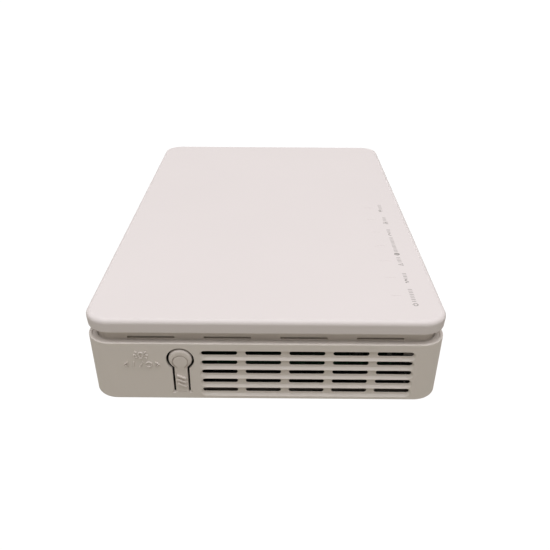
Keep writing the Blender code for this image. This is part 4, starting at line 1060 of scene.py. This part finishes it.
def strokes_to_mesh(name: str, strokes: list[Stroke], height: float, pen: float,
                    flat: float) -> bpy.types.Object:
    """Draw strokes in the XY plane with a round pen and press them flat.

    Args:
        name: the object's name.
        strokes: the strokes, one unit high.
        height: what one unit becomes, in metres.
        pen: the pen's radius, in metres.
        flat: how thick the strokes stay, as a share of the pen's width.

    Returns:
        The mesh object, about the origin.
    """
    curve = bpy.data.curves.new(name, "CURVE")
    curve.dimensions = "3D"
    curve.bevel_depth = pen
    curve.bevel_resolution = 3
    curve.use_fill_caps = True
    for stroke in strokes:
        closed = stroke[0] == stroke[-1] or math.dist(stroke[0], stroke[-1]) < 1e-6
        points = stroke[:-1] if closed else stroke
        spline = curve.splines.new("POLY")
        spline.points.add(len(points) - 1)
        spline.use_cyclic_u = closed
        for point, (x, y) in zip(spline.points, points):
            point.co = (x * height, y * height, 0, 1)
    drawn = bpy.data.objects.new(name, curve)
    bpy.context.scene.collection.objects.link(drawn)
    activate(drawn)
    bpy.ops.object.convert(target="MESH")
    piece = bpy.context.object
    with editing(piece, "VERT"):
        bpy.ops.mesh.select_all(action="SELECT")
        bpy.ops.mesh.remove_doubles(threshold=1e-7)
        bpy.ops.mesh.normals_make_consistent(inside=False)
    piece.data.transform(Matrix.Diagonal((1.0, 1.0, flat, 1.0)))
    return piece


@dataclass
class Legends:
    """Printed signs along the lid's right edge and raised ones beside the light button."""

    text_x: float = 46.1 * MM
    letter: float = 1.75 * MM
    pen: float = 0.15 * MM
    ink_flat: float = 0.08
    raised_x: float = -38.0 * MM
    raised_pen: tuple[float, float] = (0.24 * MM, 1.7)
    light_sign: tuple[float, float] = (4.40 * MM, 2.4 * MM)
    on_off_sign: tuple[float, float] = (7.85 * MM, 2.1 * MM)
    lengths: tuple[float, ...] = (11.5, 6.6, 6.8, 15.1, 5.5, 6.8, 8.0)
    middles: tuple[float, ...] = (-72.3, -59.5, -47.5, -35.2, -23.0, -11.5, 1.5)
    signs: tuple[Pictogram, ...] = (Pictogram.POWER, Pictogram.FIBRE, Pictogram.ALERT, Pictogram.GLOBE,
                                    Pictogram.HANDSET, Pictogram.NETWORK, Pictogram.WIRELESS)

    def build(self) -> None:
        """Print the seven indicator signs and raise the two beside the button."""
        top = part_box("top_cover")[1][2]
        rows = zip(self.signs, self.lengths, self.middles)
        for number, (sign, length, middle) in enumerate(rows, start=1):
            strokes = self.line(sign, length * MM / self.letter)
            legend = strokes_to_mesh("sign", strokes, self.letter, self.pen, self.ink_flat)
            legend.data.transform(Matrix.Translation((self.text_x, middle * MM, top)) @ Matrix.Rotation(
                math.pi / 2, 4, "Z"))
            hand_over(legend, f"indicator_sign_{number}", Finish.INK, even=False)
        self.raised("light_sign", Pictogram.BULB, *self.light_sign)
        self.raised("on_off_sign", Pictogram.ON_OFF, *self.on_off_sign)

    def line(self, sign: Pictogram, length: float) -> list[Stroke]:
        """Return a sign at the near end of a row of short bars that fills a length.

        Args:
            sign: the sign.
            length: the whole length, in letter heights.

        Returns:
            The strokes, with the line's middle at the origin.
        """
        start = -length / 2 + 0.55
        strokes = [[(x + start, y) for x, y in stroke] for stroke in sign.value]
        bar = start + 1.15
        while bar < length / 2 - 0.1:
            strokes.append([(bar, -0.38), (bar, 0.38)])
            bar += 0.62
        return strokes

    def raised(self, name: str, sign: Pictogram, drop: float, height: float) -> None:
        """Raise a sign on the end wall, left of the light button."""
        piece = strokes_to_mesh(name, sign.value, height, *self.raised_pen)
        piece.data.transform(Wall().place(self.raised_x, drop) @ Matrix.Rotation(math.pi / 2, 4, "X"))
        hand_over(piece, name, Finish.NECK, even=False)


# ---- rear sockets -----------------------------------------------------------------
@dataclass
class ModularSocket:
    """Modular socket with a stepped mouth, a latch notch and sprung contacts."""

    node: str
    finish: Finish
    mouth: tuple[float, float, float, float]
    notch: tuple[float, float]
    contacts: int
    pitch: float
    catch: Point = (0.64, 0.3, 0.9 * MM)
    wire_r: float = 0.17 * MM

    def build(self) -> None:
        """Model the body and its contacts."""
        low, high = (Vector(corner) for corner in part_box(self.node))
        middle = (low.y + high.y) / 2
        width, height, depth, sill = self.mouth
        body = block("body", low, high)
        floor_z = low.z + sill
        work(body, block("mouth", (low.x - 1 * MM, middle - width / 2, floor_z),
                         (low.x + depth, middle + width / 2, floor_z + height)))
        half_notch, notch_z = self.notch[0] / 2, floor_z - self.notch[1]
        work(body, block("notch", (low.x - 1 * MM, middle - half_notch, notch_z),
                         (low.x + depth * 0.8, middle + half_notch, floor_z + 1 * MM)))
        share, reach, drop = self.catch
        work(body, block("catch", (low.x - 1 * MM, middle - half_notch * share, notch_z - drop),
                         (low.x + depth * reach, middle + half_notch * share, notch_z + 0.5 * MM)))
        soften(body, 0.18 * MM)
        hand_over(body, f"{self.node}_body", self.finish, TERMINAL, self.node)
        self.springs(low, middle, floor_z + height, depth)

    def springs(self, low: Vector, middle: float, ceiling: float, depth: float) -> None:
        """Model the row of gold contact wires that slant down from the mouth's ceiling."""
        back_x = low.x + depth
        route = [(back_x - 0.2 * MM, ceiling - 4.8 * MM), (back_x - 2.5 * MM, ceiling - 4.4 * MM),
                 (low.x + 3.2 * MM, ceiling - 0.9 * MM), (low.x + 2.6 * MM, ceiling - 0.35 * MM)]
        first = middle - (self.contacts - 1) / 2 * self.pitch
        wires = [self.wire(first + index * self.pitch, route) for index in range(self.contacts)]
        hand_over(weld_objects(wires), f"{self.node}_contacts", Finish.GOLD, even=False)

    def wire(self, y: float, route: list[tuple[float, float]]) -> bpy.types.Object:
        """Return one contact wire through points in the XZ plane."""
        curve = bpy.data.curves.new("wire", "CURVE")
        curve.dimensions = "3D"
        curve.bevel_depth = self.wire_r
        curve.bevel_resolution = 2
        curve.use_fill_caps = True
        spline = curve.splines.new("POLY")
        spline.points.add(len(route) - 1)
        for point, (x, z) in zip(spline.points, route):
            point.co = (x, y, z, 1)
        drawn = bpy.data.objects.new("wire", curve)
        bpy.context.scene.collection.objects.link(drawn)
        activate(drawn)
        bpy.ops.object.convert(target="MESH")
        return bpy.context.object


@dataclass
class PowerInlet:
    """Barrel jack with a countersunk mouth and domed pin."""

    node: str = "power_jack"
    bore_r: float = 3.2 * MM
    axis_rise: float = 6.2 * MM
    bore_depth: float = 10.0 * MM
    lead_in: float = 0.5 * MM
    pin_r: float = 1.0 * MM

    def build(self) -> None:
        """Model the jack's body and pin."""
        low, high = (Vector(corner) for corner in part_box(self.node))
        middle, axis = (low.y + high.y) / 2, low.z - 0.1 * MM + self.axis_rise
        body = block("jack", low, high)
        work(body, rod("bore", self.bore_r, (low.x - 1 * MM, middle, axis),
                       (low.x + self.bore_depth, middle, axis), 56))
        lead_in = rod("lead_in", self.bore_r + self.lead_in, (low.x - self.lead_in, middle, axis),
                      (low.x + self.lead_in, middle, axis), 56)
        shift_face(lead_in, 0, low.x + self.lead_in, (1.0, 0.86, 0.86), (0, 0, 0), (low.x, middle, axis))
        work(body, lead_in)
        soften(body, 0.2 * MM)
        hand_over(body, "power_jack_body", Finish.SOCKET_BLACK, TERMINAL, self.node)
        pin = rod("pin", self.pin_r, (low.x + 1 * MM, middle, axis),
                  (low.x + self.bore_depth + 0.2 * MM, middle, axis), 32)
        round_face(pin, 0, low.x + 1 * MM, self.pin_r / 2, 5)
        hand_over(pin, "power_jack_pin", Finish.TIN)


@dataclass
class PowerButton:
    """Square push button with a sunk power sign."""

    node: str = "power_button"
    cap_depth: float = 3.6 * MM
    stem_half: float = 1.5 * MM
    sign: tuple[float, float] = (3.4 * MM, 0.2 * MM)
    sign_sink: float = 0.12 * MM

    def build(self) -> None:
        """Model the cap, its stem and the sign on its face."""
        low, high = (Vector(corner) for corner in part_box(self.node))
        middle = (low + high) / 2
        cap_end = low.x + self.cap_depth
        cap = block("cap", low, (cap_end, high.y, high.z))
        round_along(cap, 0, 0.8 * MM, 5)
        round_face(cap, 0, low.x, 0.5 * MM, 4)
        half = self.stem_half
        work(cap, block("stem", (cap_end - 0.5 * MM, middle.y - half, middle.z - half),
                        (high.x, middle.y + half, middle.z + half)), "UNION")
        soften(cap, 0.12 * MM)
        hand_over(cap, "power_button_cap", Finish.BUTTON, self.node, self.node)
        sign = strokes_to_mesh("sign", Pictogram.POWER.value, *self.sign, 1.0)
        upright = Matrix.Rotation(-math.pi / 2, 4, "Z") @ Matrix.Rotation(math.pi / 2, 4, "X")
        sign.data.transform(Matrix.Translation((low.x + self.sign_sink, middle.y, middle.z)) @ upright)
        hand_over(sign, "power_button_sign", Finish.SOCKET_GREY, self.node, even=False)


@dataclass
class FibrePort:
    """Fibre adapter with hinge ears, ceramic sleeve and a ribbed shutter."""

    ear_reach: float = 1.7 * MM
    ear_ys: tuple[float, float] = (4.6 * MM, 5.4 * MM)
    axis_rise: float = 5.5 * MM
    body_rise: float = 10.5 * MM
    mouth: Point = (3.8 * MM, 4.6 * MM, 12.0 * MM)
    sleeve: tuple[float, float] = (2.2 * MM, 1.27 * MM)
    barrel_r: float = 0.6 * MM
    flap_half: float = 0.4 * MM

    def build(self) -> None:
        """Model the adapter, its sleeve and the shutter."""
        low, high = (Vector(corner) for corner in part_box("fibre_adapter"))
        face = low.x + self.ear_reach
        middle = (low.y + high.y) / 2
        board = low.z - 0.1 * MM
        axis = board + self.axis_rise
        body = block("adapter", (face, low.y, low.z), (high.x, high.y, board + self.body_rise))
        for side in (-1, 1):
            edge = sorted(middle + side * y for y in self.ear_ys)
            ear = block("ear", (low.x, edge[0], board + self.body_rise - 0.1 * MM),
                        (face + 2 * MM, edge[1], high.z))
            round_edges(ear, lambda a, b: near(a.x, low.x) and near(b.x, low.x) and near(a.z, b.z),
                        0.4 * MM, 4)
            work(body, ear, "UNION")
        half_width, half_height, depth = self.mouth
        work(body, block("mouth", (face - 1 * MM, middle - half_width, axis - half_height),
                         (face + depth, middle + half_width, axis + half_height)))
        work(body, block("key", (face - 1 * MM, middle - 1.2 * MM, axis + 4.3 * MM),
                         (face + 6 * MM, middle + 1.2 * MM, axis + 4.9 * MM)))
        soften(body, 0.12 * MM)
        hand_over(body, "fibre_adapter_body", Finish.ADAPTER_GREEN, TERMINAL, "fibre_adapter")
        outer_r, bore_r = self.sleeve
        sleeve = rod("sleeve", outer_r, (face + depth / 2, middle, axis),
                     (face + depth + 0.5 * MM, middle, axis), 40)
        work(sleeve, rod("sleeve_bore", bore_r, (face + depth / 2 - 1 * MM, middle, axis),
                         (face + depth - 1 * MM, middle, axis), 32))
        soften(sleeve, 0.15 * MM)
        hand_over(sleeve, "fibre_sleeve", Finish.CERAMIC)
        self.shutter()

    def shutter(self) -> None:
        """Model the flap with its hinge barrel and two grip ridges."""
        low, high = (Vector(corner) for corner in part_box("fibre_shutter"))
        axis_x, axis_z = (low.x + high.x) / 2, high.z - self.barrel_r
        flap = block("flap", (axis_x - self.flap_half, low.y, low.z),
                     (axis_x + self.flap_half, high.y, axis_z))
        round_along(flap, 0, 0.4 * MM, 4)
        barrel = rod("barrel", self.barrel_r, (axis_x, low.y, axis_z), (axis_x, high.y, axis_z), 32)
        work(flap, barrel, "UNION")
        for lift in (1.6 * MM, 2.9 * MM):
            ridge = block("ridge", (axis_x - 0.58 * MM, low.y + 2 * MM, low.z + lift - 0.3 * MM),
                          (axis_x, high.y - 2 * MM, low.z + lift + 0.3 * MM))
            work(flap, ridge, "UNION")
        soften(flap, 0.1 * MM)
        hand_over(flap, "fibre_shutter_flap", Finish.SOCKET_BLACK, "fibre_shutter", "fibre_shutter")


# ---- underside --------------------------------------------------------------------
@dataclass
class Underside:
    """Feet, case screws and the blank label."""

    head: tuple[float, float] = (2.7 * MM, 2.0 * MM)
    shank_r: float = 1.0 * MM
    drive: Point = (1.4 * MM, 0.32 * MM, 0.9 * MM)

    def build(self) -> None:
        """Model the four feet, the four screws and the label."""
        for number in range(1, 5):
            self.foot(f"foot_{number}")
            self.screw(f"case_screw_{number}")
        low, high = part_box("rating_label")
        film = block("film", low, high)
        round_along(film, 2, 1.2 * MM, 5)
        with editing(film, "FACE") as mesh:
            select_where(film, mesh, "faces", lambda co: near(co.z, low[2]))
            bpy.ops.mesh.inset(thickness=0.8 * MM)
            bpy.ops.mesh.inset(thickness=0.25 * MM)
            bpy.ops.transform.translate(value=(0, 0, 0.03 * MM))
        hand_over(film, "label_plate", Finish.FILM, TERMINAL, "rating_label", even=False)

    def foot(self, node: str) -> None:
        """Model one foot with a shallow recess in the middle of its tread."""
        low, high = (Vector(corner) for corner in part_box(node))
        middle = (low + high) / 2
        pad = rod("pad", (high.x - low.x) / 2, (middle.x, middle.y, low.z), (middle.x, middle.y, high.z), 48)
        round_face(pad, 2, low.z, 0.3 * MM, 4)
        with editing(pad, "FACE") as mesh:
            select_where(pad, mesh, "faces", lambda co: near(co.z, low.z))
            bpy.ops.mesh.inset(thickness=1.2 * MM)
            bpy.ops.mesh.inset(thickness=0.5 * MM)
            bpy.ops.mesh.extrude_region_move(TRANSFORM_OT_translate={"value": (0, 0, 0.25 * MM)})
        hand_over(pad, f"{node}_pad", Finish.RUBBER, TERMINAL, node)

    def screw(self, node: str) -> None:
        """Model one case screw with a domed head, cross recess and plain shank."""
        low, high = (Vector(corner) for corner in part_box(node))
        x, y = (low.x + high.x) / 2, (low.y + high.y) / 2
        head_top = low.z + self.head[1]
        head = rod("head", self.head[0], (x, y, low.z), (x, y, head_top), 40)
        round_face(head, 2, low.z, 0.7 * MM, 5)
        work(head, rod("shank", self.shank_r, (x, y, head_top - 0.5 * MM), (x, y, high.z), 24), "UNION")
        reach, width, depth = self.drive
        for half_x, half_y in ((reach, width), (width, reach)):
            work(head, block("drive", (x - half_x, y - half_y, low.z - 1 * MM),
                             (x + half_x, y + half_y, low.z + depth)))
        soften(head, 0.08 * MM)
        hand_over(head, f"{node}_body", Finish.ZINC, TERMINAL, node)


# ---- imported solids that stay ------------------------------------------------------
@dataclass
class PackedParts:
    """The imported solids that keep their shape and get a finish."""

    finishes: dict[str, Finish] = field(default_factory=lambda: {
        "vent_frame": Finish.NECK, "main_board": Finish.BOARD, "heatsink": Finish.FIN,
        "light_guide": Finish.ACRYLIC, "optical_module": Finish.TIN, "reset_switch": Finish.TIN,
        "light_switch_plunger": Finish.BUTTON, "rating_label": Finish.FILM,
    })
    families: dict[str, Finish] = field(default_factory=lambda: {
        "radio_shield": Finish.TIN, "status_led": Finish.LAMP, "capacitor": Finish.SLEEVE,
        "power_coil": Finish.FERRITE, "antenna_lead": Finish.COAX, "antenna": Finish.ANTENNA,
        "board_screw": Finish.ZINC, "case_screw": Finish.ZINC, "foot": Finish.RUBBER,
        "lan_socket": Finish.SOCKET_BLACK, "telephone_socket": Finish.SOCKET_GREY,
        "power_jack": Finish.SOCKET_BLACK, "fibre_adapter": Finish.ADAPTER_GREEN,
        "fibre_shutter": Finish.SOCKET_BLACK, "top_cover": Finish.LID, "lower_housing": Finish.HOUSING,
        "light_button": Finish.BUTTON, "power_button": Finish.BUTTON,
    })

    def finish_of(self, node: str) -> Finish:
        """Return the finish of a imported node: its own, its family's, or chip epoxy."""
        if node in self.finishes:
            return self.finishes[node]
        family = [prefix for prefix in self.families if node.startswith(prefix)]
        return self.families[max(family, key=len)] if family else Finish.CHIP

    def dress(self) -> None:
        """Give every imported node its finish."""
        for name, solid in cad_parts.items():
            finish = self.finish_of(name)
            for material_slot in solid.material_slots:
                material_slot.material = finish.material()
            LOG.info("%s: packed solid in %s", name, finish.value.name)


# ---- studio -----------------------------------------------------------------------
@dataclass
class Studio:
    """Pale floor, soft light from above and the camera."""

    camera_at: Point = (3.04 * MM, -249.28 * MM, 131.95 * MM)
    pitch: float = math.radians(28.047)
    yaw: float = math.radians(0.115)
    roll: float = math.radians(0.356)
    lens: float = 42.332
    sun: float = 3.38
    sun_width: float = math.radians(76)
    sun_tilt: float = math.radians(4.5)
    bounce: Point = (0.475, 0.452, 0.392)
    horizon: float = 0.85

    def build(self) -> None:
        """Set up floor, lights and camera."""
        self.floor()
        self.lights()
        self.camera()

    def floor(self) -> None:
        """Lay a large white light table under the feet, with a black sheet under the terminal as painted
        shade that keeps light from below out of it.
        """
        activate_nothing()
        bpy.ops.mesh.primitive_plane_add(size=8.0, location=(0, 0, -0.0004))
        plane = settle(bpy.context.object)
        plane.name = "light_table"
        bench = ShaderBench("light_table_glow")
        tone = bench.noise(3.0, 2.0)
        plane.data.materials.append(bench.dress(
            base_color=(0.0, 0.0, 0.0, 1.0), specular_ior_level=0.0, emission_strength=1.05,
            emission_color=bench.blend(tone, (1.0, 1.0, 1.0), (0.99, 0.99, 0.99))))
        plane.visible_diffuse = False
        plane.visible_glossy = False
        # painted shade: a black sheet under the terminal stands in for the shadow beneath it
        shade_sheet = block("shade_sheet", (-48 * MM, -80 * MM, -0.0003), (48 * MM, 80 * MM, -0.0002))
        shade_sheet.data.materials.append(ShaderBench("painted_shade_black").dress(base_color=(0.05, 0.05, 0.05, 1.0),
                                                               roughness=0.95))

    def lights(self) -> None:
        """Hang a wide soft sun above and in front, with warm light from below the horizon."""
        data = bpy.data.lights.new("overhead", "SUN")
        data.energy = self.sun
        data.angle = self.sun_width
        lamp = bpy.data.objects.new("overhead", data)
        lamp.rotation_euler = (self.sun_tilt, 0, 0)
        bpy.context.scene.collection.objects.link(lamp)
        world = bpy.data.worlds.new("studio_bounce")
        world.use_nodes = True
        tree = world.node_tree
        place = tree.nodes.new("ShaderNodeTexCoord")
        split = tree.nodes.new("ShaderNodeSeparateXYZ")
        tree.links.new(place.outputs["Generated"], split.inputs[0])
        fade = 1 - Signal(tree, split.outputs["Z"]) * (1 / self.horizon)
        below = fade.math("MINIMUM", 1.0).math("MAXIMUM", 0.0)
        background = tree.nodes["Background"]
        background.inputs["Color"].default_value = (*self.bounce, 1.0)
        tree.links.new(below.socket, background.inputs["Strength"])
        bpy.context.scene.world = world
        bpy.context.scene.view_settings.view_transform = "Standard"

    def camera(self) -> None:
        """Place the camera."""
        data = bpy.data.cameras.new("camera")
        data.lens = self.lens
        data.sensor_width = 36.0
        data.clip_start = 0.01
        camera = bpy.data.objects.new("camera", data)
        camera.matrix_world = (Matrix.Translation(self.camera_at) @ Matrix.Rotation(self.yaw, 4, "Z")
                               @ Matrix.Rotation(math.pi / 2 - self.pitch, 4, "X")
                               @ Matrix.Rotation(self.roll, 4, "Z"))
        bpy.context.scene.collection.objects.link(camera)
        bpy.context.scene.camera = camera


def sockets() -> list[ModularSocket]:
    """Return the four network sockets and the telephone socket."""
    lan = [ModularSocket(f"lan_socket_{n}", Finish.SOCKET_BLACK, (11.9 * MM, 7.0 * MM, 12.5 * MM, 3.7 * MM),
                         (6.2 * MM, 2.4 * MM), 8, 1.02 * MM) for n in range(1, 5)]
    telephone = ModularSocket("telephone_socket", Finish.SOCKET_GREY,
                              (9.8 * MM, 6.6 * MM, 11.5 * MM, 3.5 * MM), (4.0 * MM, 2.2 * MM), 4, 1.02 * MM)
    return [*lan, telephone]


def main() -> None:
    """Build the terminal's looks in order."""
    logging.basicConfig(level=logging.INFO, format="%(name)s: %(message)s")
    Studio().build()
    PackedParts().dress()
    for assembly in (Lid(), Housing(), LightButton(), Legends(), *sockets(), PowerInlet(), PowerButton(),
                     FibrePort(), Underside()):
        assembly.build()
    bpy.ops.object.select_all(action="DESELECT")


if __name__ == "__main__":
    main()
